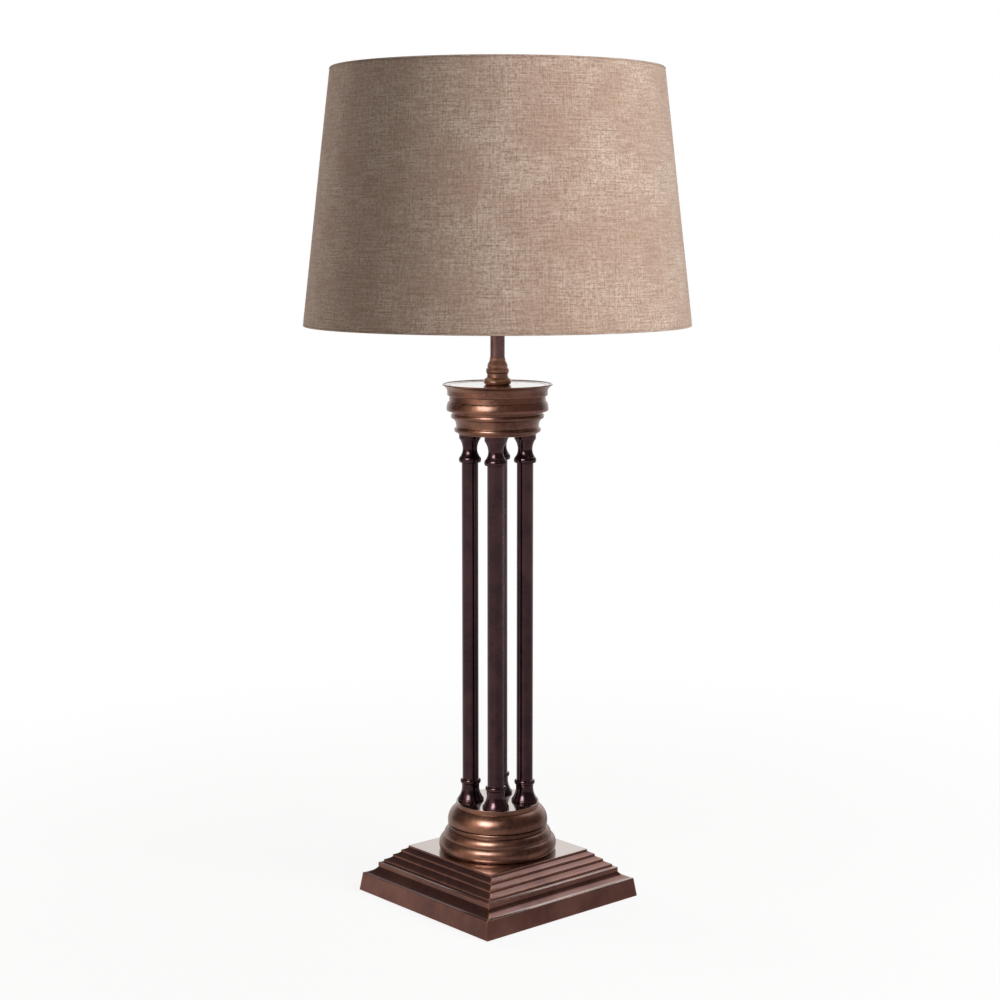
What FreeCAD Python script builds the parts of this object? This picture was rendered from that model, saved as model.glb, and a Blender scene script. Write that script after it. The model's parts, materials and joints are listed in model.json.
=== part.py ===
import FreeCAD, Part
import math
import os
import Sketcher

# Column table lamp: a square stepped plinth, a turned pedestal, four slender columns, a turned capital,
# a neck and stem that carry the lampholder, and a tapered linen drum shade that turns on its seat.
# Millimetres, +Z up. The origin is on the table, under the middle of the plinth. The plinth's sides
# lie along X and Y, and the front is towards -Y.

DIMENSIONS = (
    # alias, value, meaning
    # Plinth, from the table up
    ("felt_thickness", 1.2, "felt pad, proud of the plinth's lower edge"),
    ("felt_margin", 3.0, "felt pad's edge, in from the plinth's lower edge"),
    ("plinth_side", 211.5, "side of the square plinth at its lower edge"),
    ("slab_height", 19.4, "plain slab at the foot of the plinth"),
    ("slab_batter", 2.75, "lean of the slab's sides over its height"),
    ("cove_run", 11.9, "wide cove above the slab, sideways"),
    ("cove_rise", 6.9, "wide cove above the slab, upwards"),
    ("band_height", 4.9, "upright band above the cove"),
    ("first_step_run", 4.2, "lowest of four steps, sideways"),
    ("first_step_rise", 3.1, "lowest of four steps, upwards"),
    ("second_step_run", 6.9, "second step, sideways"),
    ("second_step_rise", 5.7, "second step, upwards"),
    ("third_step_run", 6.3, "third step, sideways"),
    ("third_step_rise", 5.3, "third step, upwards"),
    ("fourth_step_run", 5.8, "fourth step, sideways"),
    ("fourth_step_rise", 5.1, "fourth step, upwards"),
    ("step_riser", 2.0, "upright part of each step"),
    ("slab_wall", 4.0, "least wall of the slab"),
    ("cavity_straight", 16.8, "height of the cavity's upright walls"),
    ("platform_margin", 7.9, "cavity's roof edge, in from the platform's edge"),
    ("platform_thickness", 5.0, "plate under the pedestal"),
    # Bottom plate and its screws
    ("plate_thickness", 4.0, "steel bottom plate"),
    ("plate_clearance", 0.5, "bottom plate's edge to the plinth's wall"),
    ("post_setback", 7.1, "screw post's axis, in from the band's face"),
    ("post_radius", 4.5, "screw post in the plinth and in the capital"),
    ("post_cover", 0.5, "metal left over a post's upper end"),
    ("screw_radius", 1.9, "shank of the small screws"),
    ("screw_length", 12.0, "shank below the head"),
    ("screw_head_radius", 3.6, "head of the small screws"),
    ("screw_head_height", 2.0, "head of the small screws"),
    ("screw_clearance", 0.1, "hole round a screw, all round"),
    ("screw_hole_spare", 1.5, "screw hole, deeper than the screw"),
    # Cable inlet in the rear wall
    ("inlet_height", 11.6, "axis of the cable inlet, above the table"),
    ("inlet_bore", 3.3, "radius of the way for a cord"),
    ("bush_radius", 4.1, "bush where it passes the wall"),
    ("bush_flange_radius", 6.4, "bush's outer flange"),
    ("bush_flange_thickness", 1.8, "bush's outer flange"),
    ("bush_lip", 0.6, "rounding of the bush's mouth"),
    ("spot_depth", 1.1, "flat spot for the flange, below the slab's face at the inlet"),
    ("inlet_nut_flats", 10.4, "nut on the bush, across flats"),
    ("inlet_nut_thickness", 3.0, "nut on the bush"),
    # Terminal block on the bottom plate
    ("block_width", 34.0, "terminal block, along X"),
    ("block_depth", 20.0, "terminal block, along Y"),
    ("block_height", 16.0, "terminal block"),
    ("block_setback", 62.0, "terminal block's middle, behind the lamp's axis"),
    ("block_pitch", 10.0, "spacing of the terminals"),
    ("well_radius", 2.6, "well over each terminal screw"),
    ("well_depth", 6.0, "well over each terminal screw"),
    ("terminal_screw_height", 3.0, "head of a terminal screw"),
    # Pedestal
    ("torus_radius", 59.6, "foot of the pedestal, at the platform"),
    ("torus_swell", 2.7, "swell of the foot's roll beyond its seat"),
    ("torus_height", 15.0, "foot's roll"),
    ("torus_crest", 6.0, "foot's roll at its widest, above the platform"),
    ("roll_radius", 57.2, "second roll, at its lower edge"),
    ("roll_height", 8.2, "second roll"),
    ("roll_inset", 5.0, "second roll's lean inwards"),
    ("quirk", 0.6, "small step beside a moulding"),
    ("groove_radius", 50.8, "groove under and over the thin ring"),
    ("groove_height", 2.0, "groove under the thin ring"),
    ("thin_ring_radius", 52.0, "thin ring"),
    ("thin_ring_height", 2.8, "thin ring"),
    ("ovolo_radius", 53.0, "large quarter round, at its widest"),
    ("ovolo_height", 17.8, "large quarter round"),
    ("ovolo_crest", 1.8, "large quarter round at its widest, above its foot"),
    ("ovolo_top_radius", 44.3, "large quarter round, at its upper edge"),
    ("disc_radius", 44.0, "pedestal's top disc"),
    ("disc_height", 3.8, "pedestal's top disc"),
    ("disc_neck_height", 1.2, "plain neck under the top disc"),
    ("pedestal_wall", 4.0, "wall and top of the hollow pedestal"),
    ("pedestal_floor_wall", 6.6, "wall of the pedestal where it meets the platform"),
    ("pedestal_ring_wall", 4.8, "wall of the pedestal beside the thin ring"),
    ("pedestal_crown_wall", 5.6, "wall of the pedestal at the top of the quarter round"),
    ("pedestal_room_straight", 12.0, "upright wall of the room inside the pedestal"),
    # Columns
    ("column_offset", 20.36, "column's axis, from the lamp's two middle planes"),
    ("shaft_radius", 8.6, "column shaft"),
    ("shaft_bore", 7.3, "inside of the shaft's tube"),
    ("shaft_length", 338.5, "column shaft"),
    ("spigot_height", 6.0, "spigot that enters the shaft"),
    ("spigot_clearance", 0.1, "spigot to the shaft's bore, all round"),
    ("base_radius", 14.0, "column base, at its foot"),
    ("base_height", 23.5, "column base"),
    ("base_foot", 1.8, "upright edge of the column base"),
    ("base_neck_radius", 9.5, "column base, at its neck"),
    ("base_ring_radius", 11.0, "ring on top of the column base"),
    ("base_ring_height", 5.0, "ring on top of the column base"),
    ("cap_radius", 11.4, "column cap, at its upper lip"),
    ("cap_height", 30.5, "column cap"),
    ("cap_lip", 5.0, "upright lip of the column cap"),
    ("cap_neck_radius", 8.0, "column cap, at its neck"),
    ("cap_neck_height", 18.0, "neck, above the column cap's foot"),
    ("cap_ring_radius", 11.6, "ring at the column cap's foot"),
    ("cap_ring_height", 6.4, "ring at the column cap's foot"),
    # Threaded tubes that clamp the lamp together, and their nuts
    ("rod_radius", 5.0, "threaded tube"),
    ("rod_bore", 3.8, "way through a threaded tube"),
    ("rod_clearance", 0.15, "hole round a threaded tube, all round"),
    ("rod_end", 1.0, "threaded tube beyond its nut"),
    ("nut_flats", 14.0, "nut on a threaded tube, across flats"),
    ("nut_thickness", 4.0, "nut on a threaded tube"),
    ("washer_radius", 8.6, "washer under a nut"),
    ("washer_thickness", 1.0, "washer under a nut"),
    # Capital
    ("capital_foot_radius", 41.0, "underside of the capital"),
    ("capital_foot_height", 1.6, "plain edge of the underside"),
    ("low_ring_edge_radius", 44.0, "lower ring, at its two edges"),
    ("low_ring_height", 4.8, "lower ring"),
    ("cavetto_foot_radius", 43.0, "hollow moulding, at its foot"),
    ("cavetto_top_radius", 46.0, "hollow moulding, at its top"),
    ("cavetto_height", 9.0, "hollow moulding"),
    ("fine_ring_radius", 48.4, "fine ring over the hollow moulding"),
    ("fine_ring_height", 4.4, "fine ring over the hollow moulding"),
    ("neck_groove_radius", 47.0, "groove under the great roll"),
    ("neck_groove_height", 3.0, "groove under the great roll"),
    ("great_roll_edge_radius", 52.0, "great roll under the frieze, at its two edges"),
    ("great_roll_height", 6.8, "great roll under the frieze"),
    ("frieze_foot_radius", 50.9, "plain frieze, at its foot"),
    ("frieze_top_radius", 49.6, "plain frieze, at its top"),
    ("frieze_height", 8.4, "plain frieze"),
    ("crown_ring_radius", 52.2, "ring over the frieze"),
    ("crown_ring_height", 5.0, "ring over the frieze"),
    ("rim_radius", 57.2, "capital's flared rim"),
    ("flare_height", 5.3, "flare from the ring to the rim"),
    ("rim_height", 1.4, "rim's edge"),
    ("rim_width", 1.2, "flat top of the rim"),
    ("lid_radius", 49.8, "lid of the capital"),
    ("lid_thickness", 2.5, "lid of the capital"),
    ("lid_clearance", 0.2, "lid to its recess, all round"),
    ("lid_recess", 1.2, "lid's face below the rim"),
    ("lid_ledge", 5.5, "ledge that carries the lid"),
    ("capital_wall", 4.0, "floor and least wall of the capital"),
    ("capital_step_height", 19.0, "foot of the wider room inside the capital"),
    # Crossbar in the capital
    ("crossbar_length", 84.0, "crossbar"),
    ("crossbar_width", 16.0, "crossbar"),
    ("crossbar_thickness", 3.0, "crossbar"),
    ("crossbar_screw_offset", 36.0, "crossbar screw, from the lamp's axis"),
    ("crossbar_drop", 9.5, "crossbar's underside, below the lid's"),
    # Neck and stem
    ("neck_foot_radius", 12.2, "turned neck, at the lid"),
    ("neck_roll_radius", 14.6, "roll at the neck's foot"),
    ("neck_roll_height", 7.2, "roll at the neck's foot"),
    ("neck_waist_radius", 10.9, "waist over the roll"),
    ("neck_bead_radius", 11.9, "bead over the waist"),
    ("neck_bead_height", 5.4, "bead over the waist"),
    ("neck_waist_height", 4.6, "waist over the roll"),
    ("neck_collar_radius", 10.5, "collar over the bead"),
    ("neck_collar_height", 3.4, "collar over the bead"),
    ("neck_top_radius", 8.2, "neck, at the stem"),
    ("neck_taper_height", 3.6, "taper from the collar to the top"),
    ("neck_height", 28.0, "turned neck"),
    ("stem_radius", 7.6, "stem tube"),
    ("stem_wall", 2.2, "stem tube"),
    ("stem_length", 22.5, "stem tube"),
    # Lampholder
    ("cup_foot_radius", 8.8, "flared cup under the lampholder, at the stem"),
    ("cup_radius", 18.4, "flared cup, at its rim"),
    ("cup_height", 15.5, "flared cup"),
    ("cup_lip_height", 1.0, "lip round the lampholder's foot"),
    ("cup_lip_width", 1.6, "lip round the lampholder's foot"),
    ("holder_radius", 19.2, "lampholder's body"),
    ("holder_wall", 1.3, "lampholder's body"),
    ("holder_round", 4.5, "rounding at the lampholder's foot"),
    ("holder_cap_height", 21.0, "lower half of the lampholder"),
    ("holder_floor", 3.0, "floor of the lower half"),
    ("holder_ledge_height", 7.0, "ledge under the insert"),
    ("holder_ledge_width", 1.9, "ledge under the insert"),
    ("shell_height", 36.0, "upper half of the lampholder"),
    ("shell_lip_radius", 14.8, "mouth of the lampholder"),
    ("flange_radius", 26.0, "flange that carries the shade"),
    ("flange_thickness", 2.0, "flange that carries the shade"),
    ("flange_height", 13.0, "flange's underside, above the shell's foot"),
    ("insert_clearance", 0.2, "insert to the lampholder's body, all round"),
    ("insert_recess_radius", 9.0, "wiring recess under the insert"),
    ("insert_recess_height", 4.0, "wiring recess under the insert"),
    ("socket_floor_height", 17.0, "floor of the socket, above the insert's foot"),
    ("sleeve_radius", 14.1, "screw sleeve, outside"),
    ("sleeve_bore", 13.35, "screw sleeve, inside"),
    ("sleeve_height", 28.0, "screw sleeve"),
    ("sleeve_foot_bore", 10.0, "hole in the screw sleeve's foot"),
    ("sleeve_foot_thickness", 0.8, "foot of the screw sleeve"),
    ("contact_radius", 4.5, "centre contact"),
    ("contact_height", 2.6, "centre contact"),
    ("contact_plate_thickness", 0.9, "plate of the centre contact"),
    ("contact_button_radius", 2.2, "button on the centre contact, at its foot"),
    ("contact_tip_radius", 1.5, "button on the centre contact, at its top"),
    ("switch_height", 8.0, "switch bar's axis, above the insert's foot"),
    ("switch_radius", 2.4, "switch bar"),
    ("switch_clearance", 0.1, "hole round the switch bar, all round"),
    ("switch_reach", 9.0, "switch bar beyond the lampholder, at the front"),
    ("switch_rest", 4.0, "switch bar beyond the lampholder, at the rear"),
    ("running_gap", 0.3, "gap beside a piece that turns"),
    ("ring_height", 8.0, "shade ring"),
    ("ring_radius", 25.5, "shade ring"),
    ("ring_clearance", 0.1, "shade ring to its thread, all round"),
    ("ring_edge", 0.8, "bevel of the shade ring"),
    # Bulb
    ("bulb_cap_radius", 13.25, "bulb's screw cap"),
    ("bulb_cap_wall", 0.5, "bulb's screw cap"),
    ("bulb_cap_foot", 5.2, "lower edge of the screw cap, above the tip"),
    ("bulb_cap_top", 26.5, "upper edge of the screw cap, above the tip"),
    ("tip_radius", 2.8, "contact at the bulb's tip"),
    ("bulb_radius", 30.0, "bulb's glass"),
    ("bulb_height", 108.0, "bulb, tip to crown"),
    ("bulb_neck_height", 29.0, "foot of the glass's flare, above the tip"),
    ("bulb_shoulder_radius", 20.5, "glass, halfway up its flare"),
    ("bulb_shoulder_height", 50.0, "glass, halfway up its flare"),
    ("glass_wall", 1.0, "bulb's glass"),
    ("glass_seat", 5.5, "glass inside the screw cap"),
    ("mast_radius", 1.2, "mast inside the bulb"),
    ("mast_foot_radius", 5.0, "mount at the mast's foot"),
    ("mast_mount_height", 24.0, "mount at the mast's foot"),
    ("filament_foot", 46.0, "lower plate of the filaments, above the tip"),
    ("filament_length", 36.0, "filaments between their plates"),
    ("filament_radius", 1.0, "filament"),
    ("filament_offset", 4.5, "filament's axis, from the mast's two middle planes"),
    ("filament_plate_radius", 8.4, "plates that hold the filaments"),
    ("filament_plate_thickness", 0.8, "plates that hold the filaments"),
    # Shade
    ("shade_bottom_radius", 200.0, "shade, at its lower edge"),
    ("shade_top_radius", 170.0, "shade, at its upper edge"),
    ("shade_height", 260.0, "shade"),
    ("shade_drop", 39.9, "shade's lower edge, below its seat"),
    ("linen_thickness", 0.6, "linen of the shade"),
    ("liner_thickness", 0.4, "stiff liner of the shade"),
    ("hem_thickness", 0.5, "folded hem"),
    ("hem_height", 1.5, "folded hem on the outside of the shade"),
    ("wire_radius", 1.5, "rings in the shade's hems"),
    ("wire_clearance", 0.1, "ring wire to the liner and the hem"),
    ("carrier_bore", 20.2, "hole in the carrier ring"),
    ("carrier_radius", 27.0, "carrier ring"),
    ("carrier_thickness", 1.6, "carrier ring"),
    ("arm_radius", 1.3, "carrier arm's wire"),
    ("arm_weld", 0.15, "depth of the carrier arms' welds"),
    ("arm_level_run", 6.0, "level stretch at each end of a carrier arm"),
    ("arm_bend", 8.0, "bend of a carrier arm"),
    # Inner flex
    ("flex_radius", 2.3, "flex inside the lamp"),
    ("flex_bend", 20.0, "flex's bend under the rear right column"),
    ("flex_turn", 14.0, "flex's two bends in the capital"),
    ("flex_rise", 6.5, "corner of a bend, beyond the tube's end"),
)

CORNERS = (("front_left", -1, -1), ("front_right", 1, -1), ("rear_right", 1, 1), ("rear_left", -1, 1))
ARM_COUNT = 3
FIRST_ARM_ANGLE = 90.0

# Roundness of an edge is the tangent of a quarter of its turn: positive swells, negative hollows.
QUARTER_ROUND = math.tan(math.radians(90 / 4))
FULL_ROUND = 0.8
HALF_ROUND = 0.4
SOFT_ROUND = 0.28
SOFT_HOLLOW = -0.22
SLIGHT_ROUND = 0.12
SLIGHT_HOLLOW = -0.12

doc = FreeCAD.newDocument("column_table_lamp")
sheet = doc.addObject("Spreadsheet::Sheet", "Dimensions")
for row, (alias, value, meaning) in enumerate(DIMENSIONS, start=1):
    sheet.set(f"A{row}", meaning)
    sheet.set(f"B{row}", str(value))
    sheet.setAlias(f"B{row}", alias)
doc.recompute()

sub_parts = []


class Size:
    """A length, with its value in millimetres and the sheet expression that works it out."""

    def __init__(self, value, text):
        self.value = value
        self.text = text

    def combine(self, other, sign, value):
        return Size(value, f"({self.text} {sign} {as_size(other).text})")

    def __add__(self, other):
        return self.combine(other, "+", self.value + as_size(other).value)

    def __sub__(self, other):
        return self.combine(other, "-", self.value - as_size(other).value)

    def __mul__(self, other):
        return self.combine(other, "*", self.value * as_size(other).value)

    def __truediv__(self, other):
        return self.combine(other, "/", self.value / as_size(other).value)

    def __neg__(self):
        return Size(-self.value, f"(0 - {self.text})")


class Sheet:
    """The sheet's cells, each read as a Size by its alias."""

    def __getattr__(self, alias):
        return Size(float(sheet.get(alias)), f"{sheet.Name}.{alias}")


dim = Sheet()
ZERO = Size(0.0, "0")


def as_size(number):
    """A plain number as a Size; a Size as it is."""
    return number if isinstance(number, Size) else Size(float(number), repr(float(number)))


def distance(start, finish):
    """The straight distance between two points (across, along) of Sizes."""
    across = finish[0] - start[0]
    along = finish[1] - start[1]
    value = math.hypot(across.value, along.value)
    return Size(value, f"sqrt({across.text} * {across.text} + {along.text} * {along.text})")


# Sketches and features

def new_body(label, x=ZERO, y=ZERO, z=ZERO):
    """An empty body that is a sub-part, placed at (x, y, z)."""
    body = doc.addObject("PartDesign::Body", label)
    body.Label = label
    place(body, x, y, z)
    sub_parts.append(body)
    return body


def place(piece, x, y, z):
    """Bind a piece's place to the sheet."""
    for axis, size in (("x", x), ("y", y), ("z", z)):
        piece.setExpression(f"Placement.Base.{axis}", as_size(size).text)


def new_sketch(body, plane, lift=ZERO):
    """An empty sketch on one of the body's own origin planes, lifted along the plane's normal."""
    sketch = body.newObject("Sketcher::SketchObject", f"{body.Label}_sketch")
    support = next(feature for feature in body.Origin.OriginFeatures if feature.Role == plane)
    sketch.AttachmentSupport = (support, [""])
    sketch.MapMode = "FlatFace"
    sketch.setExpression("AttachmentOffset.Base.z", as_size(lift).text)
    return sketch


def hold_point(sketch, edge, end, point):
    """Bind one point of an edge to its distances from the sketch's two axes."""
    for kind, size, axis in (("DistanceX", point[0], -2), ("DistanceY", point[1], -1)):
        if size is ZERO:
            sketch.addConstraint(Sketcher.Constraint("PointOnObject", edge, end, axis))
        else:
            index = sketch.addConstraint(Sketcher.Constraint(kind, -1, 1, edge, end, size.value))
            sketch.setExpression(f"Constraints[{index}]", size.text)


def hold_radius(sketch, edge, radius):
    """Bind an arc's or a circle's radius."""
    index = sketch.addConstraint(Sketcher.Constraint("Radius", edge, radius.value))
    sketch.setExpression(f"Constraints[{index}]", radius.text)


def add_circle(sketch, x, y, radius):
    """A circle about (x, y)."""
    centre = (as_size(x), as_size(y))
    middle = FreeCAD.Vector(centre[0].value, centre[1].value, 0)
    circle = Part.Circle(middle, FreeCAD.Vector(0, 0, 1), radius.value)
    edge = sketch.addGeometry(circle)
    hold_point(sketch, edge, 3, centre)
    hold_radius(sketch, edge, radius)


def add_arc(sketch, start, finish, roundness):
    """An arc from start to finish, and the numbers of its first and last points.

    With chord c and roundness b, the radius is c(1 + b*b) / 4b and the centre stands c(1 - b*b) / 4b
    to the left of the chord's middle.
    """
    first = FreeCAD.Vector(start[0].value, start[1].value, 0)
    last = FreeCAD.Vector(finish[0].value, finish[1].value, 0)
    chord = last - first
    left = FreeCAD.Vector(-chord.y, chord.x, 0)
    centre = (first + last) * 0.5 + left * ((1 - roundness ** 2) / (4 * roundness))
    radius = distance(start, finish) * ((1 + roundness ** 2) / (4 * abs(roundness)))
    from_point, to_point = (first, last) if roundness > 0 else (last, first)
    start_angle = math.atan2(from_point.y - centre.y, from_point.x - centre.x)
    finish_angle = math.atan2(to_point.y - centre.y, to_point.x - centre.x)
    circle = Part.Circle(centre, FreeCAD.Vector(0, 0, 1), radius.value)
    edge = sketch.addGeometry(Part.ArcOfCircle(circle, start_angle, finish_angle))
    hold_radius(sketch, edge, radius)
    return (edge, 1, 2) if roundness > 0 else (edge, 2, 1)


def add_outline(sketch, corners):
    """A closed outline that keeps its inside on the left.

    A corner is (across, along), or (across, along, roundness) where an arc leads to the next corner.
    """
    points = [(as_size(corner[0]), as_size(corner[1])) for corner in corners]
    edges = []
    for corner, start, finish in zip(corners, points, points[1:] + points[:1]):
        if len(corner) == 3:
            edges.append(add_arc(sketch, start, finish, corner[2]))
        else:
            line = Part.LineSegment(FreeCAD.Vector(start[0].value, start[1].value, 0),
                                    FreeCAD.Vector(finish[0].value, finish[1].value, 0))
            edges.append((sketch.addGeometry(line), 1, 2))
    for (edge, first, last), (next_edge, next_first, next_last) in zip(edges, edges[1:] + edges[:1]):
        sketch.addConstraint(Sketcher.Constraint("Coincident", edge, last, next_edge, next_first))
    for (edge, first, last), point in zip(edges, points):
        hold_point(sketch, edge, first, point)


def add_rectangle(sketch, half_width, half_depth):
    """A rectangle about the sketch's origin."""
    add_outline(sketch, ((-half_width, -half_depth), (half_width, -half_depth),
                         (half_width, half_depth), (-half_width, half_depth)))


def add_hexagon(sketch, x, y, flats):
    """A hexagon about (x, y), given across its flats."""
    corners = []
    for turn in range(6):
        angle = math.radians(60 * turn)
        reach = flats / math.sqrt(3)
        corners.append((as_size(x) + reach * math.cos(angle), as_size(y) + reach * math.sin(angle)))
    add_outline(sketch, corners)


def revolve(body, sketch, axis="V_Axis"):
    """Turn a sketch once round one of its axes."""
    feature = body.newObject("PartDesign::Revolution", f"{body.Label}_revolution")
    feature.Profile = sketch
    feature.ReferenceAxis = (sketch, [axis])
    feature.Angle = 360
    return feature


def pad(body, sketch, length, both_ways=False, reverse=False):
    """Grow a sketch by a length along its normal."""
    feature = body.newObject("PartDesign::Pad", f"{body.Label}_pad")
    feature.Profile = sketch
    feature.SideType = "Symmetric" if both_ways else "One side"
    feature.Reversed = reverse
    feature.setExpression("Length", as_size(length).text)
    return feature


def pocket(body, sketch, length=None, reverse=False):
    """Cut a sketch to a depth against its normal, or right through both ways."""
    feature = body.newObject("PartDesign::Pocket", f"{body.Label}_pocket")
    feature.Profile = sketch
    feature.Reversed = reverse
    if length is None:
        feature.Type = "ThroughAll"
        feature.SideType = "Symmetric"
    else:
        feature.setExpression("Length", as_size(length).text)
    return feature


def turned(label, corners, x=ZERO, y=ZERO, z=ZERO):
    """A piece turned about its own upright axis, from corners (radius, height)."""
    body = new_body(label, x, y, z)
    sketch = new_sketch(body, "XZ_Plane")
    add_outline(sketch, corners)
    revolve(body, sketch)
    return body


def drill(body, places, radius):
    """Upright round holes right through a body."""
    sketch = new_sketch(body, "XY_Plane")
    for x, y in places:
        add_circle(sketch, x, y, radius)
    pocket(body, sketch)


def tube(label, inner, outer, length, x=ZERO, y=ZERO, z=ZERO):
    """A plain upright tube."""
    body = new_body(label, x, y, z)
    sketch = new_sketch(body, "XY_Plane")
    add_circle(sketch, ZERO, ZERO, outer)
    add_circle(sketch, ZERO, ZERO, inner)
    pad(body, sketch, length)
    return body


def washers(label, places, z):
    """Flat washers for the threaded tubes, one at each place."""
    body = new_body(label, z=z)
    sketch = new_sketch(body, "XY_Plane")
    for x, y in places:
        add_circle(sketch, x, y, dim.washer_radius)
        add_circle(sketch, x, y, rod_hole)
    pad(body, sketch, dim.washer_thickness)


def nut_layer(body, places, lift=ZERO):
    """A layer of nuts for the threaded tubes, one at each place."""
    sketch = new_sketch(body, "XY_Plane", lift)
    for x, y in places:
        add_hexagon(sketch, x, y, dim.nut_flats)
        add_circle(sketch, x, y, dim.rod_radius + dim.screw_clearance)
    pad(body, sketch, dim.nut_thickness)


def screws(label, places, z, head_down=False):
    """Small screws with their heads' undersides at height z, one at each place."""
    body = new_body(label, z=z)
    heads = new_sketch(body, "XY_Plane")
    shanks = new_sketch(body, "XY_Plane")
    for x, y in places:
        add_circle(heads, x, y, dim.screw_head_radius)
        add_circle(shanks, x, y, dim.screw_radius)
    pad(body, heads, dim.screw_head_height, reverse=head_down)
    pad(body, shanks, dim.screw_length, reverse=not head_down)


def bent_rod(points, bends, radius):
    """A round rod along straight runs joined by tangent arcs, one bend radius for each inner point."""
    starts = [points[0]]
    edges = []
    for before, corner, after, bend in zip(points, points[1:], points[2:], bends):
        towards = (corner - before).normalize()
        away = (after - corner).normalize()
        setback = bend * math.tan(towards.getAngle(away) / 2)
        first = corner - towards * setback
        last = corner + away * setback
        centre_way = (away - towards).normalize()
        centre = corner + centre_way * math.hypot(bend, setback)
        middle = centre - centre_way * bend
        edges.append(Part.LineSegment(starts[-1], first).toShape())
        edges.append(Part.Arc(first, middle, last).toShape())
        starts.append(last)
    edges.append(Part.LineSegment(starts[-1], points[-1]).toShape())
    path = Part.Wire(edges)
    section = Part.Wire([Part.Circle(points[0], points[1] - points[0], radius).toShape()])
    rod = path.makePipeShell([section], True, False)
    expected = math.pi * radius ** 2 * path.Length
    print(f"rod: radii {bends}, length {path.Length:.1f} mm, volume {rod.Volume / expected:.4f} of expected")
    return rod


def loose_shape(label, shape):
    """A sub-part whose shape is worked out here, from the sheet's values."""
    piece = doc.addObject("Part::Feature", label)
    piece.Label = label
    piece.Shape = shape
    piece.Placement = FreeCAD.Placement()
    sub_parts.append(piece)
    return piece


def point(x, y, z):
    """A point from three Sizes or numbers."""
    return FreeCAD.Vector(as_size(x).value, as_size(y).value, as_size(z).value)


# Places worked out from the sheet

steps = ((dim.first_step_run, dim.first_step_rise), (dim.second_step_run, dim.second_step_rise),
         (dim.third_step_run, dim.third_step_rise), (dim.fourth_step_run, dim.fourth_step_rise))
plinth_half = dim.plinth_side / 2
slab_half = plinth_half - dim.slab_batter
band_half = slab_half - dim.cove_run
band_foot = dim.slab_height + dim.cove_rise
band_top = band_foot + dim.band_height
platform_half = band_half
plinth_height = band_top
for step_run, step_rise in steps:
    platform_half = platform_half - step_run
    plinth_height = plinth_height + step_rise
cavity_half = slab_half - dim.slab_wall
cavity_height = plinth_height - dim.platform_thickness
plinth_z = dim.felt_thickness
plate_top_z = plinth_z + dim.plate_thickness
post_offset = band_half - dim.post_setback
platform_z = plinth_z + plinth_height
platform_underside_z = plinth_z + cavity_height

pedestal_height = (dim.torus_height + dim.quirk + dim.roll_height + dim.groove_height + dim.thin_ring_height
                   + dim.quirk + dim.ovolo_height + dim.disc_neck_height + dim.disc_height)
pedestal_top_z = platform_z + pedestal_height
shaft_z = pedestal_top_z + dim.base_height
column_cap_z = shaft_z + dim.shaft_length
capital_z = column_cap_z + dim.cap_height
capital_floor_z = capital_z + dim.capital_wall

crown_height = (dim.capital_foot_height + dim.quirk + dim.low_ring_height + dim.cavetto_height + dim.quirk
                + dim.fine_ring_height + dim.neck_groove_height + dim.great_roll_height + dim.quirk
                + dim.frieze_height + dim.quirk)
capital_height = crown_height + dim.crown_ring_height + dim.flare_height + dim.rim_height
lid_seat_height = capital_height - dim.lid_recess - dim.lid_thickness
lid_z = capital_z + lid_seat_height
lid_top_z = lid_z + dim.lid_thickness
crossbar_z = lid_z - dim.crossbar_drop
crossbar_top_z = crossbar_z + dim.crossbar_thickness
neck_top_z = lid_top_z + dim.neck_height
stem_top_z = neck_top_z + dim.stem_length
holder_z = stem_top_z + dim.cup_height - dim.cup_lip_height
insert_z = holder_z + dim.holder_ledge_height
shell_z = holder_z + dim.holder_cap_height
flange_top_z = shell_z + dim.flange_height + dim.flange_thickness
socket_z = insert_z + dim.socket_floor_height
bulb_z = socket_z + dim.contact_height + dim.ring_clearance
switch_z = insert_z + dim.switch_height
carrier_z = flange_top_z + dim.running_gap
ring_z = carrier_z + dim.carrier_thickness + dim.running_gap
shade_z = carrier_z - dim.shade_drop

rod_hole = dim.rod_radius + dim.rod_clearance
tie_foot_z = platform_underside_z - dim.washer_thickness - dim.nut_thickness - dim.rod_end
tie_top_z = capital_floor_z + dim.washer_thickness + dim.nut_thickness + dim.rod_end
stem_rod_foot_z = crossbar_z - dim.nut_thickness - dim.rod_end
stem_rod_top_z = holder_z + dim.holder_floor + dim.rod_end
tie_places = [(dim.column_offset * side_x, dim.column_offset * side_y) for name, side_x, side_y in CORNERS]
post_places = [(post_offset * side_x, post_offset * side_y) for name, side_x, side_y in CORNERS]
crossbar_places = ((-dim.crossbar_screw_offset, ZERO), (dim.crossbar_screw_offset, ZERO))

# The slab's face leans, so the flat spot is measured in from the face at the inlet's height.
lean_at_inlet = dim.slab_batter * ((dim.inlet_height - plinth_z) / dim.slab_height)
spot_face_y = plinth_half - lean_at_inlet - dim.spot_depth


# Plinth

def plinth_outline():
    """The plinth's section: slab, wide cove, band and four hollowed steps, and its mirror image."""
    right = [(plinth_half, ZERO), (slab_half, dim.slab_height, SOFT_HOLLOW), (band_half, band_foot)]
    across = band_half
    height = band_top
    for run, rise in steps:
        right.append((across, height, SLIGHT_HOLLOW))
        across = across - run
        height = height + rise
        right.append((across, height - dim.step_riser))
    right.append((across, height))
    left = []
    for index, corner in enumerate(right):
        leads_in_arc = index > 0 and len(right[index - 1]) == 3
        mirrored = (-corner[0], corner[1])
        left.append(mirrored + (right[index - 1][2],) if leads_in_arc else mirrored)
    return right + left[::-1]


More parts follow.
